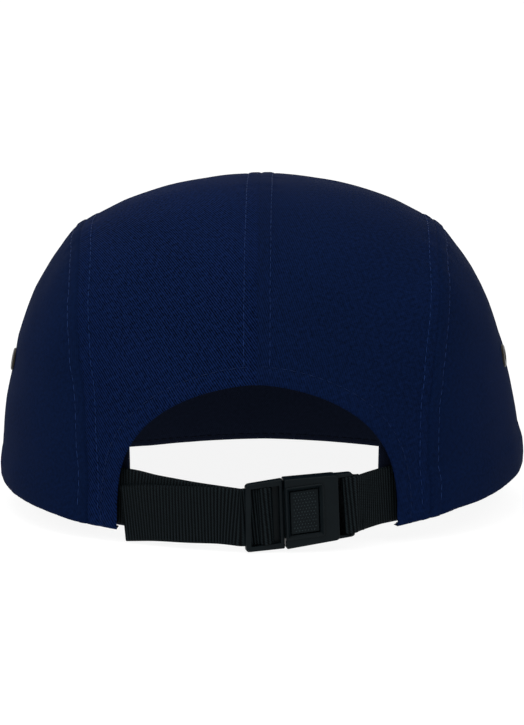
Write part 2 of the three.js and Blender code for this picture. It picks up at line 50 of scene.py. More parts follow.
# The crown, measured from the plane of its rim and from the middle of its length
crown = {
    "halfWidth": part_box("side_panel_right")[1].x,
    "halfLength": 0.098,
    "height": 0.112,
    "seamHalfLength": 0.077,
    "seamHeight": 0.0943,
    "stripHalfWidthRim": 0.0575,
    "stripHalfWidthTop": 0.0634,
    "frontPanelHeight": 0.091,
    "seamRoundness": 2.6,
    "backRoundness": 2.35,
    "frontRoundness": 2.6,
    "sideFullness": {-1: 0.68, 1: 0.77},
    "rimRise": {-1: 0.0043, 1: 0.0072},
    "riseStart": 0.88,
    "riseEnd": 0.79,
    "riseSharpness": 1.15,
    "riseFade": 0.1,
    "archHalfWidth": 0.047,
    "archHeight": 0.0489,
    "archSpread": 1.7,
    "archShoulder": 3.1,
    "clothThickness": 0.0016,
}
# The rim near the back corners: how far it lies off the line above, by place across
backCorners = {
    "x": [-0.075, -0.069, -0.063, -0.056, -0.049, 0.048, 0.0545, 0.061, 0.068, 0.075, 0.083, 0.094],
    "lift": [0, -0.0002, -0.0008, -0.0012, -0.0013, 0, 0.0005, 0.0011, 0.0016, 0.0011, 0.0008, 0.0006],
    "reach": 0.03,
    "height": 0.04,
}
frontRim = {"x": [0, 0.045, 0.072], "drop": [0.0004, 0.0011, 0], "start": 0.03, "end": 0.08}
# Small swells that this soft crown has off its plain form: outwards by height, and up across the top
soft = {
    "heights": [0, 0.006, 0.012, 0.018, 0.030, 0.041, 0.047, 0.053, 0.065, 0.071, 0.077, 0.085, 0.094],
    -1: [
        -0.0007, -0.0004, -0.001, -0.001, -0.0005, -0.0006, -0.0002, 0.0006, 0.0007, 0.0007, 0, -0.0006,
        -0.0004,
    ],
    1: [
        0.0004, 0.0007, 0.0004, -0.0007, -0.001, -0.001, -0.0002, -0.0002, 0.0006, 0.0007, 0.0004, -0.0006,
        -0.0012,
    ],
    "sides": (0.045, 0.062),  # the first swell starts and is full at these places across
    "top": (0.08, 0.105),  # and the second at these heights
    "across": [0, 0.02, 0.035, 0.050, 0.058, 0.064],
    "up": [-0.0006, -0.0006, 0.0001, 0.0006, 0.0004, 0],
}
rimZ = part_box("front_panel")[0].z
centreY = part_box("front_panel")[1].y - crown["halfLength"]
origin = np.array([0, centreY, rimZ])
crownInside = np.array([0, 0, 0.03])
seamInset = {"across": 0.62, "along": 0.78, "up": 0.8}


def signedPower(value, power):
    return np.sign(value) * np.abs(value) ** power


def mix(a, b, share):
    return a + (b - a) * share


def smoothStep(low, high, value):
    share = np.clip((value - low) / (high - low), 0, 1)
    return share * share * (3 - 2 * share)


def bell(value, width):
    return np.exp(-((value / width) ** 2))


def unit(vectors):
    return vectors / np.maximum(np.linalg.norm(vectors, axis=-1, keepdims=True), 1e-12)


def stack(x, y, z):
    return np.stack(np.broadcast_arrays(x, y, z), axis=-1)


def rise(x, y, z):
    start, end = crown["riseStart"], crown["riseEnd"]
    share = np.clip((y / crown["halfLength"] + start) / (start + end), 0, 1)
    fade = np.clip(1 - z / crown["riseFade"], 0, 1)
    reach = mix(crown["rimRise"][-1], crown["rimRise"][1], smoothStep(-0.02, 0.02, x))
    wave = np.maximum(np.sin(np.pi * share), 0) ** crown["riseSharpness"]
    corner = np.interp(x, backCorners["x"], backCorners["lift"]) * smoothStep(0, -backCorners["reach"], y)
    front = -np.interp(np.abs(x), frontRim["x"], frontRim["drop"])
    front = front * smoothStep(frontRim["start"], frontRim["end"], y)
    corner = (corner + front) * np.clip(1 - z / backCorners["height"], 0, 1) ** 2
    return reach * wave * fade + corner


def softened(x, y, z):
    out = np.where(x < 0, np.interp(z, soft["heights"], soft[-1]), np.interp(z, soft["heights"], soft[1]))
    out = out * smoothStep(*soft["sides"], np.abs(x)) * np.sign(x)
    lift = np.interp(np.abs(x), soft["across"], soft["up"]) * smoothStep(*soft["top"], z)
    return stack(x + out, y, z + lift + rise(x, y, z))


# Depth is inside the outer face, and the seams come in a little less than the faces do
def seamSize(depth):
    length = crown["seamHalfLength"] - depth * seamInset["along"]
    return length, crown["seamHeight"] - depth * seamInset["up"]


# Turn runs from the back rim, over the top, to the front rim
def seamAt(turn, depth=0):
    power = 2 / crown["seamRoundness"]
    length, height = seamSize(depth)
    return -length * signedPower(np.cos(turn), power), height * np.maximum(np.sin(turn), 0) ** power


def ridgeAt(turn, depth=0):
    power = 2 / np.where(turn < np.pi / 2, crown["backRoundness"], crown["frontRoundness"])
    y = -(crown["halfLength"] - depth) * signedPower(np.cos(turn), power)
    return y, (crown["height"] - depth) * np.maximum(np.sin(turn), 0) ** power


def stripHalfWidth(z, depth=0):
    share = np.clip(z / seamSize(depth)[1], 0, 1)
    wide = mix(crown["stripHalfWidthRim"], crown["stripHalfWidthTop"], share**2)
    return wide - depth * seamInset["across"]


def stripPoint(share, turn, depth=0):
    ridgeY, ridgeZ = ridgeAt(turn, depth)
    seamY, seamZ = seamAt(turn, depth)
    x = share * stripHalfWidth(seamZ, depth)
    y = mix(ridgeY, seamY, share**2)
    z = mix(ridgeZ, seamZ, share**2)
    return softened(x, y, z)


def sidePoint(side, y, z, depth=0):
    power = crown["seamRoundness"]
    length, height = seamSize(depth)
    q = np.clip((np.abs(y / length) ** power + np.abs(z / height) ** power) ** (1 / power), 0, 1)
    edge = stripHalfWidth(z, depth)
    x = side * (edge + (crown["halfWidth"] - depth - edge) * (1 - q**2) ** crown["sideFullness"][side])
    return softened(x, y, z)


def turnAtHeight(share, height, front=False, depth=0):
    low, high = np.zeros(np.shape(height)), np.full(np.shape(height), np.pi / 2)
    for _ in range(40):
        middle = (low + high) / 2
        turn = np.pi - middle if front else middle
        z = mix(ridgeAt(turn, depth)[1], seamAt(turn, depth)[1], share**2)
        low, high = np.where(z < height, middle, low), np.where(z < height, high, middle)
    turn = (low + high) / 2
    return np.pi - turn if front else turn


crossSeamTurn = float(turnAtHeight(0, crown["frontPanelHeight"], True))


# Outline of the crown at a height, from the back left corner round the front to the back right
def outlinePoint(part, share, z, depth=0):
    if part in ("back", "front"):
        return stripPoint(share, turnAtHeight(share, z, part == "front", depth), depth)
    length, height = seamSize(depth)
    flat = np.clip(z / height, 0, 1) ** crown["seamRoundness"]
    reach = length * (1 - flat) ** (1 / crown["seamRoundness"])
    return sidePoint(-1 if part == "left" else 1, -reach * np.cos(np.pi * share), z, depth)


# Line of the back opening in plan, a depth inside the outer face
def backLine(x, depth):
    drop = (crown["halfLength"] - crown["seamHalfLength"]) / crown["stripHalfWidthRim"] ** 2
    outward = unit(stack(2 * drop * x, -1.0, 0.0))
    return stack(x, drop * x**2 - crown["halfLength"], 0.0) - outward * np.expand_dims(depth, -1)


# Curves, and mesh helpers
def runAlong(points, axis=0):
    step = np.linalg.norm(np.diff(points, axis=axis), axis=-1)
    first = np.zeros_like(np.take(step, [0], axis=axis))
    return np.concatenate([first, np.cumsum(step, axis=axis)], axis=axis)


def spotsAt(places, run, line):
    # spots of a line at places along it
    return np.stack([np.interp(places, run, line[:, k]) for k in range(line.shape[1])], axis=-1)


def evenShares(line, spacing):
    run = runAlong(line)
    count = max(int(round(run[-1] / spacing)), 2)
    return np.interp(np.linspace(0, run[-1], count + 1), run, np.linspace(0, 1, len(line)))


def crowded(length, fine, coarse, near, far):
    # shares of a length with fine steps at the start (near long) and at the end (far long)
    places = [0.0]
    while places[-1] < length:
        ahead, behind = places[-1], length - places[-1]
        ease = min(max((min(ahead / near, behind / far) - 1) * 0.6, 0), 1)
        places.append(places[-1] + mix(fine, coarse, ease))
    return np.array(places) / places[-1]


def gridPiece(name, points, uv):
    # a grid primitive whose vertices go to points[column, row]
    columns, rows = points.shape[0] - 1, points.shape[1] - 1
    bpy.ops.mesh.primitive_grid_add(x_subdivisions=columns, y_subdivisions=rows, size=2)
    piece = bpy.context.object
    piece.name = piece.data.name = name
    flat = np.empty(len(piece.data.vertices) * 3)
    piece.data.vertices.foreach_get("co", flat)
    flat = flat.reshape(-1, 3)
    column = np.rint((flat[:, 0] + 1) / 2 * columns).astype(int)
    row = np.rint((flat[:, 1] + 1) / 2 * rows).astype(int)
    piece.data.vertices.foreach_set("co", (points[column, row] + origin).ravel())
    corner = np.empty(len(piece.data.loops), dtype=int)
    piece.data.loops.foreach_get("vertex_index", corner)
    layer = piece.data.uv_layers[0] if piece.data.uv_layers else piece.data.uv_layers.new(name="UVMap")
    layer.uv.foreach_set("vector", uv[column[corner], row[corner]].ravel())
    piece.data.update()
    return piece


def listPiece(name, points, faces):
    mesh = bpy.data.meshes.new(name)
    mesh.from_pydata(points, [], faces)
    piece = bpy.data.objects.new(name, mesh)
    bpy.context.scene.collection.objects.link(piece)
    return piece


def surfaceNormals(points):
    return unit(np.cross(np.gradient(points, axis=0), np.gradient(points, axis=1)))


def applyModifier(piece, kind, **settings):
    bpy.context.view_layer.objects.active = piece
    modifier = piece.modifiers.new(kind.title(), kind)
    for name, value in settings.items():
        setattr(modifier, name, value)
    bpy.ops.object.modifier_apply(modifier=modifier.name)


def selectEdges(piece, test):
    # test gets the two ends of an edge
    bpy.ops.object.mode_set(mode="EDIT")
    bpy.ops.mesh.select_mode(type="EDGE")
    bpy.ops.mesh.select_all(action="DESELECT")
    bpy.ops.object.mode_set(mode="OBJECT")
    for edge in piece.data.edges:
        edge.select = test(*(piece.data.vertices[i].co for i in edge.vertices))
    bpy.ops.object.mode_set(mode="EDIT")


def editAll(piece, *actions):
    bpy.ops.object.select_all(action="DESELECT")
    piece.select_set(True)
    bpy.context.view_layer.objects.active = piece
    bpy.ops.object.mode_set(mode="EDIT")
    bpy.ops.mesh.select_all(action="SELECT")
    for action in actions:
        action()
    bpy.ops.object.mode_set(mode="OBJECT")


def weld():
    bpy.ops.mesh.select_all(action="SELECT")
    bpy.ops.mesh.remove_doubles(threshold=0.000001)


def faceOut():
    bpy.ops.mesh.normals_make_consistent(inside=False)


def closeHoles():
    bpy.ops.mesh.select_all(action="DESELECT")
    bpy.ops.mesh.select_non_manifold(extend=False, use_wire=False, use_multi_face=False)
    bpy.ops.mesh.fill()
    bpy.ops.mesh.select_all(action="SELECT")
    faceOut()


def bevelEdges(piece, test, radius, segments):
    selectEdges(piece, test)
    bpy.ops.mesh.bevel(offset=radius, segments=segments, affect="EDGES")
    bpy.ops.mesh.select_mode(type="VERT")
    bpy.ops.object.mode_set(mode="OBJECT")


def smooth(piece, degrees):
    bpy.ops.object.select_all(action="DESELECT")
    piece.select_set(True)
    bpy.context.view_layer.objects.active = piece
    bpy.ops.object.shade_smooth_by_angle(angle=math.radians(degrees))
    piece.select_set(False)


def finishPiece(piece, material, slotName, *nodes):
    piece.data.materials.clear()
    piece.data.materials.append(material)
    piece.select_set(False)
    if nodes:
        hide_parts(*nodes)
    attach(piece, "root")
    return piece


# Seams and hems, as distances from their lines
relief = {
    "grooveDepth": 0.00030,  # the panels dip into the seam
    "grooveWidth": 0.00055,
    "padHeight": 0.00032,  # seam allowance under the cloth
    "seamPad": (-0.0008, 0.0006),  # it ends between these, off the row of stitches
    "hemPad": (-0.0006, 0.0008),
    "rimPad": (0.010, 0.013),
    "seamReach": 0.006,  # a hem or a rim fades this near to the seam it ends in
    "pinchDepth": 0.00016,  # each row of stitches pulls the cloth in
    "pinchWidth": 0.00060,
    "puckerHeight": 0.00011,
    "puckerReach": 0.0035,
    "edgeRound": 0.0008,  # the cloth rolls over at a folded edge
    "swell": 0.00018,  # slow waves of the soft crown
    "rumple": 0.00007,  # and quicker ones of its cloth
    "pull": 0.00013,  # slanting puckers at the hem's stitches
    "pullPitch": 0.0037,
    "pullReach": 0.0013,
    "lipReach": 0.0002,
    "lipDepth": 0.0005,
}
stitching = {
    "sideRow": {-1: 0.0037, 1: 0.0043},  # from a side seam into the side panel
    "stripRow": {-1: 0.0047, 1: 0.0037},  # and into the panels between the seams
    "centre": 0.0045,
    "cross": 0.0037,
    "archTop": 0.0058,
    "archFoot": {-1: 0.0056, 1: 0.0041},
    "length": 0.0026,
    "pitch": 0.0032,
    "thread": 0.00027,
}


def waves(count, shortest, longest):
    # a smooth random curve along a line, as a sum of sines
    spans = seed.uniform(shortest, longest, count)
    starts = seed.uniform(0, 2 * np.pi, count)
    return lambda s: sum(np.sin(2 * np.pi * s / a + b) for a, b in zip(spans, starts)) / math.sqrt(count)


def swells(count, shortest, longest):
    # smooth random heights in space, as a sum of plane waves
    spans = seed.uniform(shortest, longest, count)
    starts = seed.uniform(0, 2 * np.pi, count)
    ways = unit(seed.normal(size=(count, 3)))

    def height(points):
        turns = (2 * np.pi * (points @ w) / a + b for w, a, b in zip(ways, spans, starts))
        return sum(np.sin(turn) for turn in turns) / math.sqrt(count)

    return height


def nearest(line, points):
    # distance of each point from a line, and how far along the line the nearest spot is
    run = runAlong(line)
    fine = np.linspace(0, run[-1], int(run[-1] / 0.0001) + 2)
    dense = spotsAt(fine, run, line)
    tree = KDTree(len(dense))
    for i, spot in enumerate(dense):
        tree.insert(spot, i)
    tree.balance()
    found = [tree.find(p) for p in points.reshape(-1, 3)]
    away = np.array([f[2] for f in found]).reshape(points.shape[:-1])
    along = fine[[f[1] for f in found]].reshape(points.shape[:-1])
    return away, along


def padUnder(away, ends):
    return relief["padHeight"] * (1 - smoothStep(*ends, away))


def clearOf(away):
    return smoothStep(0, relief["seamReach"], away)


def seamRelief(away, along, stitch, pucker):
    groove = -relief["grooveDepth"] * bell(away, relief["grooveWidth"])
    pad = padUnder(away - stitch, relief["seamPad"])
    pinch = -relief["pinchDepth"] * bell(away - stitch, relief["pinchWidth"])
    fold = relief["puckerHeight"] * pucker(along) * bell(away - stitch, relief["puckerReach"])
    return groove + pad + pinch + fold


def hemRelief(away, along, stitch, pucker):
    # a folded hem: thick up to its stitches, with slanting puckers where they pull
    pad = 0.8 * padUnder(away - stitch, relief["hemPad"])
    pinch = -relief["pinchDepth"] * 1.3 * bell(away - stitch, relief["pinchWidth"])
    slant = np.sin(2 * np.pi * (along + 0.7 * (away - stitch)) / relief["pullPitch"])
    pull = relief["pull"] * slant * (0.75 + 0.4 * pucker(along)) * bell(away - stitch, relief["pullReach"])
    fold = relief["puckerHeight"] * pucker(along) * bell(away - stitch, relief["puckerReach"])
    return pad + pinch + pull + fold + edgeRoll(away)


def edgeRoll(away):
    share = np.clip(1 - away / relief["edgeRound"], 0, 1)
    return -relief["edgeRound"] * 0.8 * (1 - np.sqrt(1 - share**2))


softCrown = swells(9, 0.035, 0.09)
softCloth = swells(14, 0.012, 0.024)
seamTurns = np.linspace(0.0004, np.pi - 0.0004, 1500)


def facingOut(ways, spots):
    return ways * np.sign(np.sum(ways * (spots - crownInside), axis=1, keepdims=True))


def seamLine(side):
    return stripPoint(side * np.ones_like(seamTurns), seamTurns)


def seamOutward(side):
    # shared direction of both panels along a side seam
    step = 0.01
    line = seamLine(side)
    along = unit(np.gradient(line, axis=0))
    strip = stripPoint(side * (1 - step) * np.ones_like(seamTurns), seamTurns) - line
    y, z = seamAt(seamTurns)
    panel = sidePoint(side, y * (1 - step), z * (1 - step)) - line
    first, second = unit(np.cross(along, strip)), unit(np.cross(along, panel))
    return unit(facingOut(first, line) + facingOut(second, line))


sideSeams = {side: seamLine(side) for side in (-1, 1)}
sideSeamOutward = {side: seamOutward(side) for side in (-1, 1)}
sidePuckers = {side: waves(7, 0.006, 0.016) for side in (-1, 1)}


def alongSeam(side, along):
    return spotsAt(along, runAlong(sideSeams[side]), sideSeamOutward[side])


# Lower edge of a back panel: up the arch from its foot, to the centre line, in width and height
def archPoint(angle):
    x = crown["archHalfWidth"] * np.maximum(np.cos(angle), 0) ** (2 / crown["archSpread"])
    return x, crown["archHeight"] * np.maximum(np.sin(angle), 0) ** (2 / crown["archShoulder"])


def onStrip(x, z):
    # the share and the turn at which the strip has this width and height
    share = x / crown["stripHalfWidthRim"]
    for _ in range(5):
        turn = np.where(z > 1e-5, turnAtHeight(share, z), 0)
        share = x / stripHalfWidth(seamAt(turn)[1])
    return share, turn


archAngles = np.linspace(0, np.pi / 2, 900) ** 1.5 / (np.pi / 2) ** 0.5
archShares, archTurns = onStrip(*archPoint(archAngles))
footShare = float(archShares[0])


def hemWidth(side, angle):
    # the hem is narrower at the foot of the arch
    return mix(stitching["archFoot"][side], stitching["archTop"], np.clip(angle / 0.9, 0, 1) ** 0.8)


def lowerEdge(side):
    # points of the rim and the arch, and the hem's width at each
    rim = np.linspace(1, footShare, 60)[:-1]
    shares = np.concatenate([rim, archShares])
    turns = np.concatenate([np.zeros_like(rim), archTurns])
    angles = np.concatenate([np.zeros_like(rim), archAngles])
    return stripPoint(side * shares, turns), hemWidth(side, angles)


centreTurns = np.linspace(float(archTurns[-1]), crossSeamTurn, 700)
centreSeam = stripPoint(np.zeros_like(centreTurns), centreTurns)
crossShares = np.linspace(-1, 1, 700)
crossSeam = stripPoint(crossShares, np.full_like(crossShares, crossSeamTurn))
centrePuckers = waves(6, 0.006, 0.015)
crossPuckers = waves(6, 0.006, 0.015)
archPuckers = waves(6, 0.005, 0.013)


def clothWaves(points, toSeam):
    slow = relief["swell"] * softCrown(points) * smoothStep(0, 0.02, toSeam)
    return slow + relief["rumple"] * softCloth(points)


def addLip(points, ways, uv, tucked):
    # a narrow lip tucked under the panel beside it, at the (first, last) columns and rows that meet one
    for first, last in tucked:
        strength = mix(0.15, 1, smoothStep(0.002, 0.008, points[..., 2:3]))
        reach, depth = relief["lipReach"] * strength, relief["lipDepth"] * strength
        if first:
            lip = points[:1] + unit(points[:1] - points[1:2]) * reach[:1] - ways[:1] * depth[:1]
            pairs = (lip, points), (ways[:1], ways), (uv[:1], uv)
            points, ways, uv = (np.concatenate(pair) for pair in pairs)
        if last:
            lip = points[-1:] + unit(points[-1:] - points[-2:-1]) * reach[-1:] - ways[-1:] * depth[-1:]
            pairs = (points, lip), (ways, ways[-1:]), (uv, uv[-1:])
            points, ways, uv = (np.concatenate(pair) for pair in pairs)
        points, ways, uv = (v.transpose(1, 0, 2) for v in (points, ways, uv))
    return points, uv


def clothPanel(name, points, uv, lift, material, lean, tucked, laidFlat=0):
    # the flat cloth is lifted off its surface by the seams' relief, and then gets its thickness
    normals = surfaceNormals(points)
    if np.mean(np.sum(normals * (points - crownInside), axis=-1)) < 0:
        points, uv = points[::-1], uv[::-1]
        lift = lift[::-1]
        tucked = (tucked[0][::-1], tucked[1])
        normals = surfaceNormals(points)
    direction, height = lift[..., :3], lift[..., 3:4]
    blend = np.linalg.norm(direction, axis=-1, keepdims=True)
    ways = unit(mix(normals, unit(direction), np.clip(blend, 0, 1)))
    points, uv = addLip(points + ways * height, ways, uv, tucked)
    piece = gridPiece(name, points, turned(uv, lean))
    if laidFlat:
        layFlat(piece, laidFlat, lean)
    applyModifier(piece, "SOLIDIFY", thickness=crown["clothThickness"], offset=-1)
    smooth(piece, 50)
    return finishPiece(piece, material, "twill", name)


def layFlat(piece, side, lean):
    # the pattern of a panel laid flat, so that the weave keeps its size right up to the seams
    editAll(piece, lambda: bpy.ops.uv.unwrap(method="CONFORMAL", margin=0))
    mesh = piece.data
    flat, corner = np.empty(len(mesh.loops) * 2), np.empty(len(mesh.loops), dtype=int)
    mesh.uv_layers[0].uv.foreach_get("vector", flat)
    mesh.loops.foreach_get("vertex_index", corner)
    spots, areas = np.empty(len(mesh.vertices) * 3), np.empty(len(mesh.polygons))
    mesh.vertices.foreach_get("co", spots)
    mesh.polygons.foreach_get("area", areas)
    flat = flat.reshape(-1, 4, 2) @ np.array([1, 1j])
    spots = spots.reshape(-1, 3)[corner].reshape(-1, 4, 3)
    upright = spots[..., 1] * side + spots[..., 2] * 1j
    flat, upright = flat - flat.mean(), upright - upright.mean()
    turn = np.sum(upright * np.conj(flat))
    across = np.conj(flat[:, 2] - flat[:, 0]) * (flat[:, 3] - flat[:, 1])
    scale = math.sqrt(areas.sum() / (np.abs(across.imag).sum() / 2))
    flat = flat * turn / abs(turn) * scale * np.exp(1j * math.radians(lean))
    mesh.uv_layers[0].uv.foreach_set("vector", np.stack([flat.real, flat.imag], axis=-1).ravel())


def joinLift(points, side, height, away, along):
    # near a side seam both panels move along the seam's own outward direction
    near = (1 - smoothStep(0.0004, 0.0022, away))[..., None]
    return np.concatenate([alongSeam(side, along) * near, height[..., None]], axis=-1)


def turned(uv, degrees):
    # the weave's lean on a panel
    c, s = math.cos(math.radians(degrees)), math.sin(math.radians(degrees))
    return np.stack([uv[..., 0] * c - uv[..., 1] * s, uv[..., 0] * s + uv[..., 1] * c], axis=-1)


twillLean = {-1: -34, 1: -17, "side": -30, "front": -35}


# A back panel's columns fan out from the arch. Shares of the way from the centre line along both
# seams to the rim, and of the way down the arch
fan = {"outer": [0, 0.145, 0.785, 1], "arch": [0, 0.40, 0.54, 1], "rows": 150, "crowding": 3, "near": 0.006}
clothTurns = np.linspace(0, crossSeamTurn, 800)
clothRuns = {share: runAlong(stripPoint(np.full_like(clothTurns, share), clothTurns), 0) for share in (0, 1)}


def fanRows(length):
    # shares of a column of cloth, closer together at both its ends
    x = np.linspace(0, length, 400)
    near, extra = fan["near"], fan["crowding"] * fan["near"]
    run = x + extra * (np.exp((x - length) / near) - np.exp(-length / near) + 1 - np.exp(-x / near))
    return np.interp(np.linspace(0, run[-1], fan["rows"] + 1), run, x) / length


def pointsAlong(line, shares):
    run = runAlong(line)
    return spotsAt(shares * run[-1], run, line)


def backPanel(side, material):
    name = "back_panel_left" if side < 0 else "back_panel_right"
    line, hems = lowerEdge(side)
    wide, tall = crown["stripHalfWidthTop"], clothRuns[0][-1]
    arch = np.stack([archShares * wide, np.interp(archTurns, clothTurns, clothRuns[0])], axis=1)[::-1]
    outer = np.array([[0, tall], [wide, tall], [wide, 0]])
    places = crowded(wide + tall, 0.00045, 0.0016, 0.006, 0.003)
    places[np.abs(places - wide / (wide + tall)).argmin()] = wide / (wide + tall)
    starts = pointsAlong(arch, np.interp(places, fan["outer"], fan["arch"]))
    ends = pointsAlong(outer, places)
    rows = np.array([fanRows(length) for length in np.linalg.norm(ends - starts, axis=1)])
    spots = starts[:, None] + (ends - starts)[:, None] * rows[..., None]
    share = np.clip(spots[..., 0] / wide, 0, 1)
    turn = np.interp(spots[..., 1], clothRuns[0], clothTurns)
    points = stripPoint(side * share, turn)
    toSeam, alongSide = nearest(sideSeams[side], points)
    toCentre, alongCentre = nearest(centreSeam, points)
    toCross, alongCross = nearest(crossSeam, points)
    toEdge, alongEdge = nearest(line, points)
    hem = np.interp(alongEdge, runAlong(line), hems)
    height = seamRelief(toSeam, alongSide, stitching["stripRow"][side], sidePuckers[side])
    centreRelief = seamRelief(toCentre, alongCentre, stitching["centre"], centrePuckers)
    height += centreRelief * clearOf(toCross)
    height += seamRelief(toCross, alongCross, stitching["cross"], crossPuckers)
    height += hemRelief(toEdge, alongEdge, hem, archPuckers) * clearOf(toSeam)
    height += clothWaves(points, toSeam)
    clothUp = [np.interp(turn, clothTurns, clothRuns[k]) for k in (0, 1)]
    uv = np.stack([points[..., 0], mix(clothUp[0], clothUp[1], share**2)], axis=-1)
    lift = joinLift(points, side, height, toSeam, alongSide)
    return clothPanel(name, points, uv, lift, material, twillLean[side], ((True, False), (False, True)))


def sidePanel(side, material):
    name = "side_panel_left" if side < 0 else "side_panel_right"
    line = sideSeams[side]
    places = evenShares(line, 0.00105)
    columnTurn = np.interp(places, np.linspace(0, 1, len(seamTurns)), seamTurns)
    rows = 1 - (1 - np.linspace(0, 1, 96)) ** 1.9
    y, z = seamAt(columnTurn)
    points = sidePoint(side, y[:, None] * np.ones_like(rows), z[:, None] * rows[None, :])
    toSeam, alongSide = nearest(line, points)
    rim = sidePoint(side, np.linspace(-1, 1, 900) * crown["seamHalfLength"] * 0.99999, np.zeros(900))
    toRim = nearest(rim, points)[0]
    height = seamRelief(toSeam, alongSide, stitching["sideRow"][side], sidePuckers[side])
    rimRelief = edgeRoll(toRim) + 0.7 * padUnder(toRim, relief["rimPad"])
    height += rimRelief * clearOf(toSeam) + clothWaves(points, toSeam)
    uv = np.stack([side * points[..., 1], runAlong(points, 1)], axis=-1)
    lift = joinLift(points, side, height, toSeam, alongSide)
    tucked = ((False, False), (False, True))
    return clothPanel(name, points, uv, lift, material, twillLean["side"], tucked, laidFlat=side)


def frontPanel(material):
    shares = crowded(0.16, 0.0006, 0.0016, 0.006, 0.006) * 2 - 1
    rows = crowded(0.1, 0.0006, 0.0014, 0.006, 0.003)
    turn = mix(crossSeamTurn, np.pi, rows)
    points = stripPoint(shares[:, None], turn[None, :])
    toLeft, alongLeft = nearest(sideSeams[-1], points)
    toRight, alongRight = nearest(sideSeams[1], points)
    toCross, alongCross = nearest(crossSeam, points)
    toRim = nearest(stripPoint(crossShares, np.full_like(crossShares, np.pi)), points)[0]
    height = seamRelief(toLeft, alongLeft, stitching["stripRow"][-1], sidePuckers[-1])
    height += seamRelief(toRight, alongRight, stitching["stripRow"][1], sidePuckers[1])
    height += seamRelief(toCross, alongCross, stitching["cross"], crossPuckers)
    toSeam = np.minimum(toLeft, toRight)
    height += edgeRoll(toRim) * clearOf(toSeam) + clothWaves(points, toSeam)
    near = toLeft < toRight
    liftLeft = joinLift(points, -1, height, toLeft, alongLeft)
    liftRight = joinLift(points, 1, height, toRight, alongRight)
    lift = np.where(near[..., None], liftLeft, liftRight)
    uv = np.stack([points[..., 0], runAlong(points, 1)], axis=-1)
    tucked = ((True, True), (True, False))
    return clothPanel("front_panel", points, uv, lift, material, twillLean["front"], tucked)


# Materials
def srgb(text):
    parts = [int(text[i:i + 2], 16) / 255 for i in (1, 3, 5)]
    return [c / 12.92 if c <= 0.04045 else ((c + 0.055) / 1.055) ** 2.4 for c in parts] + [1]


def addNode(material, kind, settings=None, inputs=None):
    node = material.node_tree.nodes.new(kind)
    for name, value in (settings or {}).items():
        setattr(node, name, value)
    for name, value in (inputs or {}).items():
        if isinstance(value, bpy.types.NodeSocket):
            material.node_tree.links.new(value, node.inputs[name])
        else:
            node.inputs[name].default_value = value
    return node


def newMaterial(name, colour, roughness, **sockets):
    material = bpy.data.materials.new(name)
    material.use_nodes = True
    material.diffuse_color = srgb(colour)
    shader = material.node_tree.nodes["Principled BSDF"]
    shader.inputs["Base Color"].default_value = srgb(colour)
    shader.inputs["Roughness"].default_value = roughness
    for socket, value in sockets.items():
        shader.inputs[socket].default_value = value
    return material, shader


def bandScale(pitch):
    return 2 * math.pi / 20 / pitch  # Wave Texture turns once in 2 pi / 20 at scale 1


def tint(material, shader, share, dark, light):
    # base colour between two colours, by a share that the pattern gives
    colour = addNode(material, "ShaderNodeMix", {"data_type": "RGBA"}, {0: share})
    colour.inputs[6].default_value = srgb(dark)
    colour.inputs[7].default_value = srgb(light)
    material.node_tree.links.new(colour.outputs[2], shader.inputs["Base Color"])


def emboss(material, shader, height, strength, distance):
    inputs = {"Strength": strength, "Distance": distance, "Height": height}
    bump = addNode(material, "ShaderNodeBump", {}, inputs)
    material.node_tree.links.new(bump.outputs["Normal"], shader.inputs["Normal"])


def weighted(material, pattern, weight, rest):
    # pattern * weight + rest
    inputs = {0: pattern, 1: weight, 2: rest}
    return addNode(material, "ShaderNodeMath", {"operation": "MULTIPLY_ADD"}, inputs).outputs["Value"]


def ranged(material, value, low, high, toLow=0.0, toHigh=1.0):
    node = addNode(material, "ShaderNodeMapRange", {}, {
        "Value": value, "From Min": low, "From Max": high, "To Min": toLow, "To Max": toHigh,
    })
    return node.outputs["Result"]


def bands(material, place, pitch, distortion, way="X", **more):
    inputs = {"Vector": place, "Scale": bandScale(pitch), "Distortion": distortion, **more}
    return addNode(material, "ShaderNodeTexWave", {"bands_direction": way}, inputs).outputs["Fac"]


def noise(material, place, scale, detail, **more):
    inputs = {"Vector": place, "Scale": scale, "Detail": detail, **more}
    return addNode(material, "ShaderNodeTexNoise", {}, inputs).outputs["Fac"]


twill = {
    "dark": "#000103",
    "light": "#0c1d44",
    "pitch": 0.000785,  # a little coarser than real, so that the ribs show
    "calmPitch": 0.000725,
    "ribHeight": 0.00006,
    "patchScale": 26.0,
    "patchWeight": 0.3,
    "slubScale": 850.0,
}


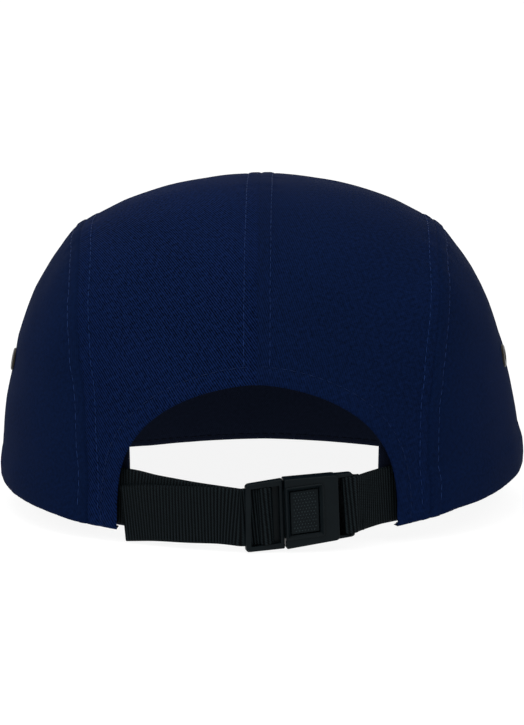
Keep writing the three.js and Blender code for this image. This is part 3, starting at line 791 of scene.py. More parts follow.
def cottonTwill(name, dark, light, contrast=1.0, fleck=1.5, pitch=twill["pitch"], fade=None):
    # cotton twill: slanting ribs of soft yarn, so matt with a faint bloom at its edges. Its ribs show
    # where the light crosses them and hardly where it runs along them
    material, shader = newMaterial(name, light, 0.92)
    shader.inputs["Specular IOR Level"].default_value = 0.018
    shader.inputs["Sheen Weight"].default_value = 0.005
    shader.inputs["Sheen Roughness"].default_value = 0.45
    shader.inputs["Sheen Tint"].default_value = srgb("#7f9bd8")
    place = addNode(material, "ShaderNodeUVMap", {"uv_map": "UVMap"}).outputs["UV"]
    ribs = bands(material, place, pitch, 0.8, Detail=1.5, **{"Detail Scale": 0.9})
    crossing = bands(material, place, pitch * 0.9, 2.0, "Y")
    slub = noise(material, place, twill["slubScale"], 2.0, Roughness=0.6)
    patch = noise(material, place, twill["patchScale"], 3.0)
    grain = weighted(material, ribs, contrast, 0.5 - contrast / 2)
    if fade:
        # painted light: the ribs' colour contrast grows towards the centre seam, where the cloth turns to the
        # light
        spot = addNode(material, "ShaderNodeTexCoord").outputs["Object"]
        across = addNode(material, "ShaderNodeSeparateXYZ", {}, {"Vector": spot}).outputs["X"]
        strength = ranged(material, across, 0.0, fade[0], fade[1], contrast)
        centred = addNode(material, "ShaderNodeMath", {"operation": "SUBTRACT"}, {0: ribs, 1: 0.5})
        grain = weighted(material, centred.outputs["Value"], strength, 0.5)
    worn = weighted(material, patch, twill["patchWeight"], weighted(material, slub, fleck, grain))
    middle = 0.5 + twill["patchWeight"] / 2 + fleck / 2
    tint(material, shader, ranged(material, worn, middle - 0.65, middle + 0.65), dark, light)
    weave = weighted(material, crossing, 0.35, ribs)
    emboss(material, shader, weave, 0.25 + contrast * 0.45, twill["ribHeight"])
    return material


navyTwill = cottonTwill("navy cotton twill", twill["dark"], twill["light"])
# painted shade: a darker copy of the navy twill for the right back panel, with low rib contrast and painted
# light on its ribs near the centre seam
paintedShadeTurningTwill = cottonTwill(
    "navy cotton twill with painted shade and painted rib light", "#02050c", "#0a1a3e", 0.16, 1.2, twill["calmPitch"], (0.042, 0.6)
)
# painted shade: a darker copy of the navy twill with low rib contrast, for the side panels
paintedShadeCalmTwill = cottonTwill("calm navy cotton twill with painted shade", "#02050c", "#0a1a3d", 0.16, 0.9, twill["calmPitch"])
darkTwill = cottonTwill("dark navy cotton twill", "#0a0e18", "#191f30", 0.35, 0.9)


def polyesterThread(name, dark, light):
    # spun polyester thread: a shade lighter than the cloth, with a little lustre
    material, shader = newMaterial(name, light, 0.6)
    shader.inputs["Specular IOR Level"].default_value = 0.06
    place = addNode(material, "ShaderNodeTexCoord").outputs["Object"]
    tint(material, shader, noise(material, place, 700.0, 2.0), dark, light)
    return material


navyThread = polyesterThread("polyester thread", "#091739", "#173060")
# painted shade: a darker copy of the thread for the back opening's rows, standing in for the shade in their
# groove
paintedShadeThread = polyesterThread("polyester thread with painted shade", "#02050d", "#122650")
darkThread = polyesterThread("dark polyester thread", "#04060b", "#0c1220")


webbing = {"ribPitch": 0.00112, "stepsPerRib": 6, "yarnPitch": 0.00085}


def wovenWebbing():
    # woven polypropylene webbing: dull black, each rib a row of plump yarns. Its colour is painted lighter on
    # the yarns' crests and darker between them, a painted highlight and painted shade, with random fluff
    material, shader = newMaterial("woven polypropylene webbing", "#0b0e10", 0.68)
    shader.inputs["Specular IOR Level"].default_value = 0.035
    place = addNode(material, "ShaderNodeUVMap", {"uv_map": "UVMap"}).outputs["UV"]
    ribs = bands(material, place, webbing["ribPitch"], 0.4, Detail=1.0)
    # a diagonal wave's bands are counted along x + y, at half the rate
    yarns = bands(material, place, webbing["yarnPitch"] / 2, 0.8, "DIAGONAL")
    fluff = noise(material, place, 1200.0, 2.0)
    blend = weighted(material, fluff, 0.9, weighted(material, yarns, 0.75, ribs))
    # painted highlight on the yarns' crests and painted shade between them, mixed with random fluff
    tint(material, shader, ranged(material, blend, 1.1, 1.75), "#010203", "#151c1f")
    emboss(material, shader, blend, 0.7, 0.00008)
    return material


blackWebbing = wovenWebbing()


def mouldedAcetal(name, dark, light):
    # injection moulded acetal: black with a satin skin from the mould's fine spark finish
    material, shader = newMaterial(name, light, 0.36)
    shader.inputs["Specular IOR Level"].default_value = 0.06
    shader.inputs["IOR"].default_value = 1.48
    place = addNode(material, "ShaderNodeTexCoord").outputs["Object"]
    cloudy = noise(material, place, 160.0, 3.0)
    gloss = ranged(material, cloudy, 0.0, 1.0, 0.26, 0.4)
    material.node_tree.links.new(gloss, shader.inputs["Roughness"])
    tint(material, shader, cloudy, dark, light)
    emboss(material, shader, noise(material, place, 2600.0, 2.0), 0.35, 0.00004)
    return material


blackAcetal = mouldedAcetal("moulded acetal", "#080d10", "#0e1518")
# painted highlight: a lighter copy of the acetal for the pad's grip dots, standing in for the light on their
# tips
paintedHighlightAcetal = mouldedAcetal("moulded acetal with painted highlight", "#1c2326", "#2c3538")


def blackenedBrass():
    # chemically blackened brass: dark brown metal, brighter where it is rubbed
    material, shader = newMaterial("blackened brass", "#24211f", 0.34, Metallic=1.0)
    place = addNode(material, "ShaderNodeTexCoord").outputs["Object"]
    rubbed = noise(material, place, 900.0, 3.0, Roughness=0.7)
    tint(material, shader, rubbed, "#0b0a0a", "#3b3833")
    gloss = ranged(material, rubbed, 0.0, 1.0, 0.5, 0.22)
    material.node_tree.links.new(gloss, shader.inputs["Roughness"])
    return material


darkBrass = blackenedBrass()
print("materials made")

crownPanels = [backPanel(-1, navyTwill), backPanel(1, paintedShadeTurningTwill)]
crownPanels += [sidePanel(side, paintedShadeCalmTwill) for side in (-1, 1)]
crownPanels.append(frontPanel(navyTwill))
print("crown panels made")

# Sweatband
band = {
    "height": 0.030,
    "thickness": 0.0012,
    "endHalfGap": {-1: 0.0453, 1: 0.0430},
    "clothGap": 0.0003,
    "wallLean": 0.0011,
    "webbing": 0.0016,
    "stitchHeight": 0.002,
    "pinchDepth": 0.00015,
    "rippleHeight": 0.0001,
    "rippleReach": 0.003,
}


def bandStation(part, share, z):
    close = crown["clothThickness"] + band["clothGap"] * 2
    deep = close + band["wallLean"] + band["webbing"]
    if part == "back":
        return outlinePoint(part, share, z, deep)
    if part == "front":
        return outlinePoint(part, share, z, close)
    return outlinePoint(part, share, z, mix(deep, close, min(share * 4, 1)))


def bandPlaces():
    # from the left end of the band, round the front, to its right end
    left, right = (band["endHalfGap"][side] / crown["stripHalfWidthRim"] for side in (-1, 1))
    places = [("back", share) for share in np.linspace(-left, -1, 14)]
    runs = (("left", 0, 1, 110), ("front", -1, 1, 90), ("right", 1, 0, 110), ("back", 1, right, 14))
    for part, start, end, count in runs:
        places += [(part, share) for share in np.linspace(start, end, count)[1:]]
    return places


def sweatband(material):
    heights = crowded(band["height"], 0.0006, 0.0016, 0.0035, 0.002) * band["height"]
    points = np.array([bandStation(part, share, heights) for part, share in bandPlaces()])
    normals = surfaceNormals(points)
    inward = -np.sign(np.mean(np.sum(normals * (points - np.array([0, 0, 0.01])), axis=-1)))
    ripple = waves(8, 0.008, 0.02)
    run = runAlong(points, 0)[:, :1]
    fromRow = heights - band["stitchHeight"]
    pinch = bell(fromRow, relief["pinchWidth"])[None, :]
    near = bell(fromRow, band["rippleReach"])[None, :]
    lift = band["rippleHeight"] * ripple(run) * near - band["pinchDepth"] * pinch
    lift += edgeRoll(heights)[None, :] * 0.6 + edgeRoll(band["height"] - heights)[None, :] * 0.6
    inner = points + normals * inward * (lift[..., None] + band["thickness"])
    uv = np.stack([runAlong(points, 0), np.broadcast_to(heights, points.shape[:2])], axis=-1)
    if inward < 0:
        inner, uv = inner[::-1], uv[::-1]
    piece = gridPiece("sweatband", inner, turned(uv, 30))
    applyModifier(piece, "SOLIDIFY", thickness=band["thickness"], offset=-1)
    smooth(piece, 50)
    return finishPiece(piece, material, "sweatband", "sweatband")


sweatband(darkTwill)
print("sweatband made")

# Peak
peak = {
    "length": 0.067,
    "halfWidth": 0.085,
    "rootHalfWidth": 0.080,
    "thickness": 0.0032,
    "flatHalfWidth": 0.026,
    "roundness": 2.5,
    "slope": 0.055,
    "sideDrop": 0.0061,
    "clearance": 0.0004,
    "rows": 7,
    "columns": 220,
    "grooveDepth": 0.00018,
    "grooveWidth": 0.0008,
    "cornerShare": 0.06,  # of the way round, over which the peak grows out of the crown
    "cornerStart": 0.2,
    "firstRow": 0.004,
    "rowPitch": 0.0085,
}


def peakUnderside(x, y, outward):
    plane = -peak["slope"] * (y - crown["halfLength"])
    beyond = np.maximum(np.abs(x) - peak["flatHalfWidth"], 0)
    toCorner = np.clip(beyond / (peak["rootHalfWidth"] - peak["flatHalfWidth"]), 0, 1)
    root = (rise(x, y, 0) - plane) * toCorner * (1 - outward)
    curl = peak["sideDrop"] * (beyond / (peak["halfWidth"] - peak["flatHalfWidth"])) ** 2
    return plane + root - curl * outward


def peakRoot():
    around = -peak["clearance"]
    shares = np.linspace(0.5, 1, 2000)
    root = []
    for part in ("left", "right"):
        edge = outlinePoint(part, shares, np.zeros_like(shares), around)
        root.append(edge[np.abs(edge[:, 0]) <= peak["rootHalfWidth"]])
    front = outlinePoint("front", crossShares, np.zeros_like(crossShares), around)
    return np.concatenate([root[0], front[1:-1], root[1][::-1]])


def peakColumns():
    root = peakRoot()
    run = runAlong(root)
    places = np.linspace(0, run[-1], peak["columns"] + 1)
    start = spotsAt(places, run, root)
    angle = np.pi * (1 - places / run[-1])
    power = 2 / peak["roundness"]
    cornerY, tipY = start[0, 1], crown["halfLength"] + peak["length"]
    edgeX = peak["halfWidth"] * signedPower(np.cos(angle), power)
    edgeY = mix(cornerY, tipY, np.maximum(np.sin(angle), 0) ** power)
    nearCorner = np.minimum(places, run[-1] - places) / (run[-1] * peak["cornerShare"])
    grown = mix(peak["cornerStart"], 1, np.clip(nearCorner, 0, 1) ** 0.5)
    return start, mix(start[:, 0], edgeX, grown), mix(start[:, 1], edgeY, grown)


def peakSurface(start, edgeX, edgeY, outward, side):
    # side is 1 on the top face and 0 on the underside
    x = mix(start[:, :1], edgeX[:, None], outward)
    y = mix(start[:, 1:2], edgeY[:, None], outward)
    return stack(x, y, peakUnderside(x, y, outward) + peak["thickness"] * side)


def peakPiece(material):
    start, edgeX, edgeY = peakColumns()
    reach = np.hypot(edgeX - start[:, 0], edgeY - start[:, 1])
    faceShares = np.linspace(0, 1, 60)
    half = peak["thickness"] / 2
    # each column runs out over the top, round the edge and back underneath
    roundEdge = np.linspace(0, np.pi, 9)[1:-1]
    inset = np.clip(half / np.maximum(reach, half * 2.2), 0, 0.45)[:, None]
    top = peakSurface(start, edgeX, edgeY, faceShares[None, :] * (1 - inset), 1)
    under = peakSurface(start, edgeX, edgeY, faceShares[::-1][None, :] * (1 - inset), 0)
    edge = peakSurface(start, edgeX, edgeY, 1 - inset + inset * np.sin(roundEdge)[None, :], 0.5)
    edge[..., 2] += half * np.cos(roundEdge)[None, :]
    distance = reach[:, None] * (1 - faceShares[None, :] * (1 - inset))
    groove = np.zeros_like(distance)
    for k in range(peak["rows"]):
        line = peak["firstRow"] + k * peak["rowPitch"]
        groove -= peak["grooveDepth"] * bell(distance - line, peak["grooveWidth"])
    top[..., 2] += groove
    under[..., 2] -= groove[:, ::-1]
    section = np.concatenate([top, edge, under, top[:, :1]], axis=1)
    uv = section[..., :2].copy()
    if surfaceNormals(section)[peak["columns"] // 2, 20, 2] < 0:
        section, uv = section[::-1], uv[::-1]
    piece = gridPiece("peak", section, turned(uv, 35))
    editAll(piece, weld, closeHoles)
    smooth(piece, 60)
    return finishPiece(piece, material, "twill", "peak")


peakPiece(navyTwill)
print("peak made")

# Webbing strap and buckle
strap = {
    "width": 0.0190,
    "thickness": 0.0013,
    "layerGap": 0.0003,
    "seamAllowance": 0.007,
    "endClearance": 0.0016,
    "lap": 0.0016,
    "shortRise": 0.0010,
    "proud": 0.0002,
    "wrapLead": 0.0019,
    "ribHeight": 0.00013,
    "selvedge": (0.0008, 0.0016),  # this near to the edges the ribs sink
    "selvedgeRib": 0.45,  # to this share of their height
    "firstLayer": [(-0.9, 0.205), (-0.76, 0.158), (-0.6, 0.12), (-0.45, 0.082), (-0.28, 0.045)],
    "freeEnd": [(-0.25, 0.030), (-0.5, 0.011), (-0.75, -0.014)],
    "sewnHeight": 0.21,
    "freeEndHeight": -0.079,
}
buckle = {
    "centreX": 0.0141,
    "centreZ": 0.0079,
    "roll": 6,
    "height": 0.0232,
    "jointCorner": 0.0005,
    "frameCorner": 0.0013,
    "barCorner": 0.0014,
    "frameTaper": 0.0004,  # the buckle is tallest at its joint, and each end is this much lower a side
    "socketTaper": 0.0010,
    "lean": 0.066,
    "frameLean": 0.03,
    "socketLength": 0.0179,
    "endSlotPlay": 0.0008,
    "socketThickness": 0.0070,
    "frameLength": 0.0127,
    "frameThickness": 0.0034,
    "sideBar": 0.0017,
    "jointBar": 0.0013,
    "wrapBar": 0.0019,
    "wrapX": -0.0113,
    "endBarWidth": 0.0026,
    "endBarThickness": 0.0022,
    "armThickness": 0.0040,
    "windowWidth": 0.0101,
    "windowHeight": 0.0148,
    "windowShift": -0.0025,
    "windowDrop": -0.0001,
    "padRecess": 0.0005,
    "windowRim": 0.0014,
    "windowRimHeight": 0.0006,
    "windowCorner": 0.0012,
    "windowSlope": 0.0055,
    "softening": 0.0005,
    "overlap": 0.0005,  # of shapes that are joined or cut, so that no face is left between them
    "through": 0.01,  # a cutter reaches this far, past both faces
    "dotPitch": 0.00102,
    "dotsHalfWidth": 0.0037,
    "clearance": 0.0003,
}
through, overlap = buckle["through"], buckle["overlap"]
pitch = strap["thickness"] + strap["layerGap"]
sewnDepth = crown["clothThickness"] + band["clothGap"] + band["wallLean"] + strap["thickness"] / 2
endSlot = strap["thickness"] + strap["layerGap"] * 2 + buckle["endSlotPlay"]
buckleLength = (
    buckle["frameLength"] + buckle["clearance"] + buckle["socketLength"] + endSlot + buckle["endBarWidth"]
)
frameStart = -buckleLength / 2
frameEnd = frameStart + buckle["frameLength"]
socketStart = frameEnd + buckle["clearance"]
socketEnd = socketStart + buckle["socketLength"]
endSlotEnd = socketEnd + endSlot
barEnd = endSlotEnd + buckle["endBarWidth"]
wrapRadius = buckle["wrapBar"] / 2 + strap["layerGap"] + strap["thickness"] / 2
wrapX = buckle["wrapX"]
slotHalf = strap["width"] / 2 + buckle["clearance"] / 3
slotStart = frameStart + buckle["sideBar"]
slotEnd = frameEnd - buckle["jointBar"]
windowX = mix(socketStart, socketEnd, 0.5) + buckle["windowShift"]
windowZ = -buckle["windowDrop"]

backDrop = crown["halfLength"] - crown["seamHalfLength"]
slope = 2 * backDrop * buckle["centreX"] / crown["stripHalfWidthRim"] ** 2
buckleRoll = Matrix.Rotation(math.radians(-buckle["roll"]), 4, "Y")
buckleTurn = Matrix.Rotation(math.atan(slope), 4, "Z") @ buckleRoll
bucklePlace = backLine(np.array(buckle["centreX"]), np.array(0.0)) + np.array([0, 0, buckle["centreZ"]])
buckleMatrix = Matrix.Translation(bucklePlace) @ buckleTurn
buckleUp = np.array((buckleTurn.to_3x3() @ Vector((buckle["lean"], 0, 1))).normalized())


def onBuckle(x, y):
    return np.array(buckleMatrix @ Vector((x, y, 0)))


def between(t, low, high, a, b):
    return (high - t) / (high - low) * a + (t - low) / (high - low) * b


def smoothCurve(points):
    # points on a smooth curve through the given ones
    points = np.array(points)
    padded = np.concatenate([[2 * points[0] - points[1]], points, [2 * points[-1] - points[-2]]])
    knots = np.concatenate([[0], np.cumsum(np.linalg.norm(np.diff(padded, axis=0), axis=1) ** 0.5)])
    curve = []
    for i in range(1, len(padded) - 2):
        t = np.linspace(knots[i], knots[i + 1], 40)[:, None]
        p, k = padded[i - 1:i + 3], knots[i - 1:i + 3]
        a = [between(t, k[j], k[j + 1], p[j], p[j + 1]) for j in range(3)]
        b = [between(t, k[j], k[j + 2], a[j], a[j + 1]) for j in range(2)]
        curve.append(between(t, k[1], k[2], b[0], b[1]))
    return np.concatenate(curve)


def ribbonPiece(name, stations, material):
    # stations are (point, direction across); the strap is swept through them with its ribs
    points = np.array([s[0] for s in stations])
    across = np.array([s[1] for s in stations])
    keep = np.concatenate([[True], np.linalg.norm(np.diff(points, axis=0), axis=1) > 1e-6])
    points, across = points[keep], across[keep]
    run = runAlong(points)
    places = np.linspace(0, run[-1], int(run[-1] / webbing["ribPitch"] * webbing["stepsPerRib"]))
    points, across = spotsAt(places, run, points), spotsAt(places, run, across)
    kernel = np.hanning(13) / np.hanning(13).sum()
    padding = len(kernel) // 2
    for _ in range(2):
        longer = np.concatenate([
            points[0] + (points[0] - points[1]) * np.arange(padding, 0, -1)[:, None], points,
            points[-1] + (points[-1] - points[-2]) * np.arange(1, padding + 1)[:, None],
        ])
        points = np.stack([np.convolve(longer[:, k], kernel, "valid") for k in range(3)], axis=1)
    along = unit(np.gradient(points, axis=0))
    width = unit(across - along * np.sum(across * along, axis=1, keepdims=True))
    face = np.cross(along, width)
    half = strap["thickness"] / 2
    rib = strap["ribHeight"] * (np.abs(np.sin(np.pi * places / webbing["ribPitch"])) * 2 - 1.3)
    # one turn round the section: out along one face, round the selvedge and back along the other
    flat = np.linspace(-1, 1, 15)
    edge = np.linspace(np.pi / 2, -np.pi / 2, 7)[1:-1]
    rim = half * 0.9
    reach = strap["width"] / 2 - rim
    sideways = np.concatenate([
        flat * reach, reach + rim * np.cos(edge), flat[::-1] * reach, -reach - rim * np.cos(edge),
    ])
    full = np.ones_like(flat)
    out = np.concatenate([full, np.sin(edge), -full, -np.sin(edge)])
    toEdge = strap["width"] / 2 - np.abs(sideways)
    selvedge = mix(strap["selvedgeRib"], 1, smoothStep(*strap["selvedge"], toEdge))
    sideways, out, selvedge = (np.append(v, v[0]) for v in (sideways, out, selvedge))
    thick = (half + rib[:, None] * selvedge[None, :]) * out[None, :]
    section = points[:, None, :] + width[:, None, :] * sideways[None, :, None]
    section = section + face[:, None, :] * thick[..., None]
    turn = np.concatenate([[0], np.cumsum(np.hypot(np.diff(sideways), np.diff(out) * half))])
    uv = np.stack(np.broadcast_arrays(places[:, None], turn[None, :]), axis=-1)
    piece = gridPiece(name, section, uv)
    editAll(piece, weld, closeHoles)
    smooth(piece, 60)
    return finishPiece(piece, material, "webbing", name)


upward = np.array([0.0, 0.0, 1.0])
archFoot = crown["archHalfWidth"]
leftEnd = onBuckle(frameStart - 0.002, 0)


def backStation(x, depth, z):
    spot = backLine(np.array(x), np.array(depth))
    spot[2] = z
    return spot


def strapDepth(x):
    share = np.clip((x - leftEnd[0]) / (-archFoot - leftEnd[0]), 0, 1)
    return mix(strap["proud"], sewnDepth, share**0.7)


def roundBar(x, radius, angles):
    # stations of a strap that turns round one of the buckle's bars
    return [(onBuckle(x + radius * math.cos(a), radius * math.sin(a)), buckleUp) for a in angles]


def longStrap(material):
    def heightAt(share):
        return leftEnd[2] + share * strap["width"]

    deep, shallow = pitch * 1.5, pitch * 0.5
    there = [
        backStation(-archFoot - strap["seamAllowance"], sewnDepth, heightAt(strap["sewnHeight"])),
        backStation(-archFoot, sewnDepth, heightAt(strap["sewnHeight"])),
    ]
    for x, z in strap["firstLayer"]:
        there.append(backStation(x * archFoot, strapDepth(x * archFoot), heightAt(z)))
    there.append(onBuckle(frameStart - 0.001, deep))
    back = [onBuckle(frameStart - 0.001, shallow)]
    for x, z in strap["freeEnd"]:
        back.append(backStation(x * archFoot, strapDepth(x * archFoot) - pitch, heightAt(z)))
    endX, endZ = -archFoot + strap["endClearance"], heightAt(strap["freeEndHeight"])
    back.append(backStation(endX, sewnDepth - pitch, endZ))
    stations = [(p, upward) for p in smoothCurve(there)]
    stations.append((onBuckle(slotStart + strap["layerGap"], deep), buckleUp))
    stations.append((onBuckle(wrapX - strap["wrapLead"], mix(deep, wrapRadius, 0.7)), buckleUp))
    stations += roundBar(wrapX, wrapRadius, np.linspace(np.pi / 2, -np.pi * 0.78, 19))
    # left of the bar the webbing dives, to pass behind the frame's left bar
    stations.append((onBuckle(wrapX - strap["wrapLead"], -shallow * 0.1), buckleUp))
    stations.append((onBuckle(slotStart + strap["layerGap"], shallow), buckleUp))
    stations += [(p, upward) for p in smoothCurve(back)]
    return ribbonPiece("strap_long", stations, material)


def shortStrap(material):
    loopRadius = buckle["endBarThickness"] / 2 + strap["layerGap"] + strap["thickness"] / 2
    loopX = endSlotEnd + buckle["endBarThickness"] / 2
    lapEnd = barEnd + strap["thickness"]
    right = onBuckle(lapEnd, 0)
    sewnZ = right[2] + strap["shortRise"]
    come = [
        backStation(archFoot + strap["seamAllowance"], sewnDepth, sewnZ),
        backStation(archFoot, sewnDepth, sewnZ),
        backStation(mix(right[0], archFoot, 0.5), sewnDepth * 0.5, mix(right[2], sewnZ, 0.45)),
        onBuckle(lapEnd, -pitch * 0.6),
        onBuckle(barEnd + strap["layerGap"], -loopRadius),
    ]
    stations = [(p, upward) for p in smoothCurve(come)]
    stations += roundBar(loopX, loopRadius, np.linspace(-np.pi / 2, -np.pi * 1.5, 13))
    stations.append((onBuckle(barEnd + strap["layerGap"], loopRadius), buckleUp))
    stations.append((onBuckle(lapEnd, pitch / 2), buckleUp))
    stations.append((onBuckle(lapEnd + strap["lap"], pitch / 2), buckleUp))
    return ribbonPiece("strap_short", stations, material)


longStrap(blackWebbing)
shortStrap(blackWebbing)
print("straps made")


# A block between two corners, softened along its edges
def block(x0, x1, y0, y1, z0, z1, soften=0.0):
    size = (x1 - x0, y1 - y0, z1 - z0)
    middle = ((x0 + x1) / 2, (y0 + y1) / 2, (z0 + z1) / 2)
    bpy.ops.mesh.primitive_cube_add(size=1, location=middle, scale=size)
    piece = bpy.context.object
    bpy.ops.object.transform_apply(location=True, rotation=True, scale=True)
    if soften:
        applyModifier(piece, "BEVEL", width=soften, segments=3, limit_method="ANGLE")
    return piece


def plate(x0, x1, half, thickness, corners, soften, middleZ=0.0):
    # a block with round corners in the buckle's plane, of one radius at each end
    piece = block(x0, x1, -thickness / 2, thickness / 2, middleZ - half, middleZ + half)
    for end, radius in zip((x0, x1), corners):

        def atEnd(a, b):
            return abs(a.y - b.y) > thickness * 0.9 and abs(a.x + b.x - end * 2) < 1e-6

        bevelEdges(piece, atEnd, radius, 6)
    sharp = math.radians(50)
    applyModifier(piece, "BEVEL", width=soften, segments=3, limit_method="ANGLE", angle_limit=sharp)
    return piece


def rod(x, radius, half):
    bpy.ops.mesh.primitive_cylinder_add(vertices=24, radius=radius, depth=half * 2, location=(x, 0, 0))
    piece = bpy.context.object
    bpy.ops.object.transform_apply(location=True, rotation=True, scale=True)
    return piece


def combine(piece, other, operation):
    applyModifier(piece, "BOOLEAN", object=other, operation=operation, solver="EXACT")
    bpy.data.objects.remove(other)


def placeOnBuckle(piece):
    # above and below the webbing the arms taper towards both ends, and every end leans a little
    arm = buckle["height"] / 2 - slotHalf
    for vertex in piece.data.vertices:
        toFrame = (frameEnd - vertex.co.x) / buckle["frameLength"]
        toBar = (vertex.co.x - socketStart) / (barEnd - socketStart)
        taper = buckle["frameTaper"] * max(toFrame, 0) + buckle["socketTaper"] * max(toBar, 0)
        beyond = max(abs(vertex.co.z) - slotHalf, 0)
        vertex.co.z -= math.copysign(beyond * taper / arm, vertex.co.z)
        vertex.co.x += vertex.co.z * (buckle["lean"] + buckle["frameLean"] * max(toFrame, 0))
    piece.data.transform(Matrix.Translation(origin) @ buckleMatrix)
    piece.data.update()


def buckleTongue(material):
    half = buckle["height"] / 2
    thick = buckle["frameThickness"] / 2
    outer = -buckle["socketThickness"] / 2
    underSide = pitch / 2 - strap["thickness"] / 2 - strap["layerGap"] * 0.6
    corners = buckle["frameCorner"], buckle["jointCorner"]
    frameShape = plate(frameStart, frameEnd, half, thick * 2, corners, buckle["softening"])
    slot = block(slotStart, slotEnd, -through, through, -slotHalf, slotHalf, 0.0002)
    combine(frameShape, slot, "DIFFERENCE")
    throat = block(frameStart - overlap * 2, slotStart + overlap, underSide, through, -slotHalf, slotHalf)
    combine(frameShape, throat, "DIFFERENCE")
    # a thin web closes the back of the slot beside the joint: a dark sheet that stands in for the shade in
    # the slot
    web = block(wrapX + wrapRadius, frameEnd - overlap, 0.0006, thick - 0.0002, -slotHalf, slotHalf)
    combine(frameShape, web, "UNION")
    combine(frameShape, rod(wrapX, buckle["wrapBar"] / 2, slotHalf + overlap), "UNION")
    combine(frameShape, block(frameEnd - 0.0008, frameEnd + 0.015, -0.001, 0.001, -0.008, 0.008), "UNION")
    # the joint is closed above the tongue
    joint = block(frameEnd - overlap, socketStart, 0.0, 0.001, -0.0085, half - 0.0008)
    combine(frameShape, joint, "UNION")
    padHalf = buckle["windowWidth"] / 2 - buckle["clearance"]
    padTall = buckle["windowHeight"] / 2 - buckle["clearance"]
    pad = block(
        windowX - padHalf, windowX + padHalf, outer + buckle["padRecess"], 0.0,
        windowZ - padTall, windowZ + padTall, 0.0003,
    )
    combine(frameShape, pad, "UNION")
    frameShape.name = frameShape.data.name = "buckle_tongue"
    placeOnBuckle(frameShape)
    smooth(frameShape, 35)
    finishPiece(frameShape, material, "buckle", "buckle_tongue")
    return windowX, outer + buckle["padRecess"], windowZ


def padDots(material, centre):
    # grip on the push pad: small pyramids in staggered rows
    bpy.ops.mesh.primitive_cone_add(vertices=4, radius1=0.00036, radius2=0.00016, depth=0.0004)
    dot = bpy.context.object
    flat = np.array([v.co for v in dot.data.vertices])
    faces = [list(p.vertices) for p in dot.data.polygons]
    bpy.data.objects.remove(dot)
    points, polygons = [], []
    for row in range(-6, 7):
        for column in range(-4, 5):
            x = (column + (row % 2) * 0.5) * buckle["dotPitch"]
            z = row * buckle["dotPitch"]
            if abs(x) > buckle["dotsHalfWidth"]:
                continue
            polygons += [[i + len(points) for i in face] for face in faces]
            points += [(x + centre[0] + p[0], centre[1] - 0.00008 - p[2], z + centre[2] + p[1]) for p in flat]
    piece = listPiece("pad_grip", points, polygons)
    placeOnBuckle(piece)
    editAll(piece, faceOut)
    finishPiece(piece, material, "buckle")


def buckleSocket(material):
    half = buckle["height"] / 2
    thick = buckle["socketThickness"] / 2
    corners = buckle["jointCorner"], buckle["barCorner"]
    body = plate(socketStart, socketEnd, half, thick * 2, corners, buckle["softening"])
    armStart = socketEnd - buckle["barCorner"] * 3
    arms = plate(armStart, barEnd, half, buckle["armThickness"], corners, buckle["softening"])
    nose = endSlotEnd + buckle["endBarThickness"] / 2
    combine(arms, block(socketEnd, nose, -through, through, -slotHalf, slotHalf), "DIFFERENCE")
    bar = buckle["endBarThickness"] / 2
    for front, behind in ((-through, -bar), (bar, through)):
        beside = block(nose - overlap, barEnd + overlap * 2, front, behind, -slotHalf, slotHalf)
        combine(arms, beside, "DIFFERENCE")
    combine(arms, rod(nose, bar, slotHalf + overlap), "UNION")
    # a thin web closes the end slot beside the strap's loop
    loopStart = nose - bar - strap["layerGap"] - strap["thickness"] + 0.0003
    combine(arms, block(socketEnd - overlap, loopStart, 0.0004, 0.0016, -slotHalf, slotHalf), "UNION")
    combine(body, arms, "UNION")
    rimX = buckle["windowWidth"] / 2 + buckle["windowRim"]
    rimZ0 = buckle["windowHeight"] / 2 + buckle["windowRim"]
    rimThick = (thick + buckle["windowRimHeight"]) * 2
    corners = (buckle["windowCorner"], buckle["windowCorner"])
    rim = plate(windowX - rimX, windowX + rimX, rimZ0, rimThick, corners, 0.00035, windowZ)
    combine(rim, block(windowX - rimX * 2, windowX + rimX * 2, 0, through, -half * 2, half * 2), "DIFFERENCE")
    combine(body, rim, "UNION")
    openX, openZ = buckle["windowWidth"] / 2, buckle["windowHeight"] / 2
    left, right, low, high = windowX - openX, windowX + openX, windowZ - openZ, windowZ + openZ
    combine(body, block(left, right, -through, 0.0, low, high), "DIFFERENCE")
    # the window's walls slope out from the pad, so the lower one catches the light
    sloped = block(left, right, -through, buckle["padRecess"] - thick, low, high)
    for vertex in sloped.data.vertices:
        if vertex.co.y < -through * 0.9:
            vertex.co.x += math.copysign(buckle["windowSlope"], vertex.co.x - windowX)
            vertex.co.z += math.copysign(buckle["windowSlope"], vertex.co.z - windowZ)
    combine(body, sloped, "DIFFERENCE")
    pocket = block(socketStart - 0.001, frameEnd + 0.0153, -0.0013, 0.0013, -0.0083, 0.0083)
    combine(body, pocket, "DIFFERENCE")
    body.name = body.data.name = "buckle_socket"
    placeOnBuckle(body)
    smooth(body, 35)
    finishPiece(body, material, "buckle", "buckle_socket")


padCentre = buckleTongue(blackAcetal)
padDots(paintedHighlightAcetal, padCentre)
buckleSocket(blackAcetal)
print("buckle made")

# Eyelets
eyelet = {
    "diameter": 0.008,
    "hole": 0.0038,
    "wall": 0.0006,
    "dome": 0.0008,
    "height": 0.0455,
    "backset": 0.022,
    "seat": 0.0001,
    "behind": 0.0003,
}


def spinRound():
    bpy.ops.mesh.spin(steps=32, angle=2 * math.pi, center=(0, 0, 0), axis=(0, 0, 1))


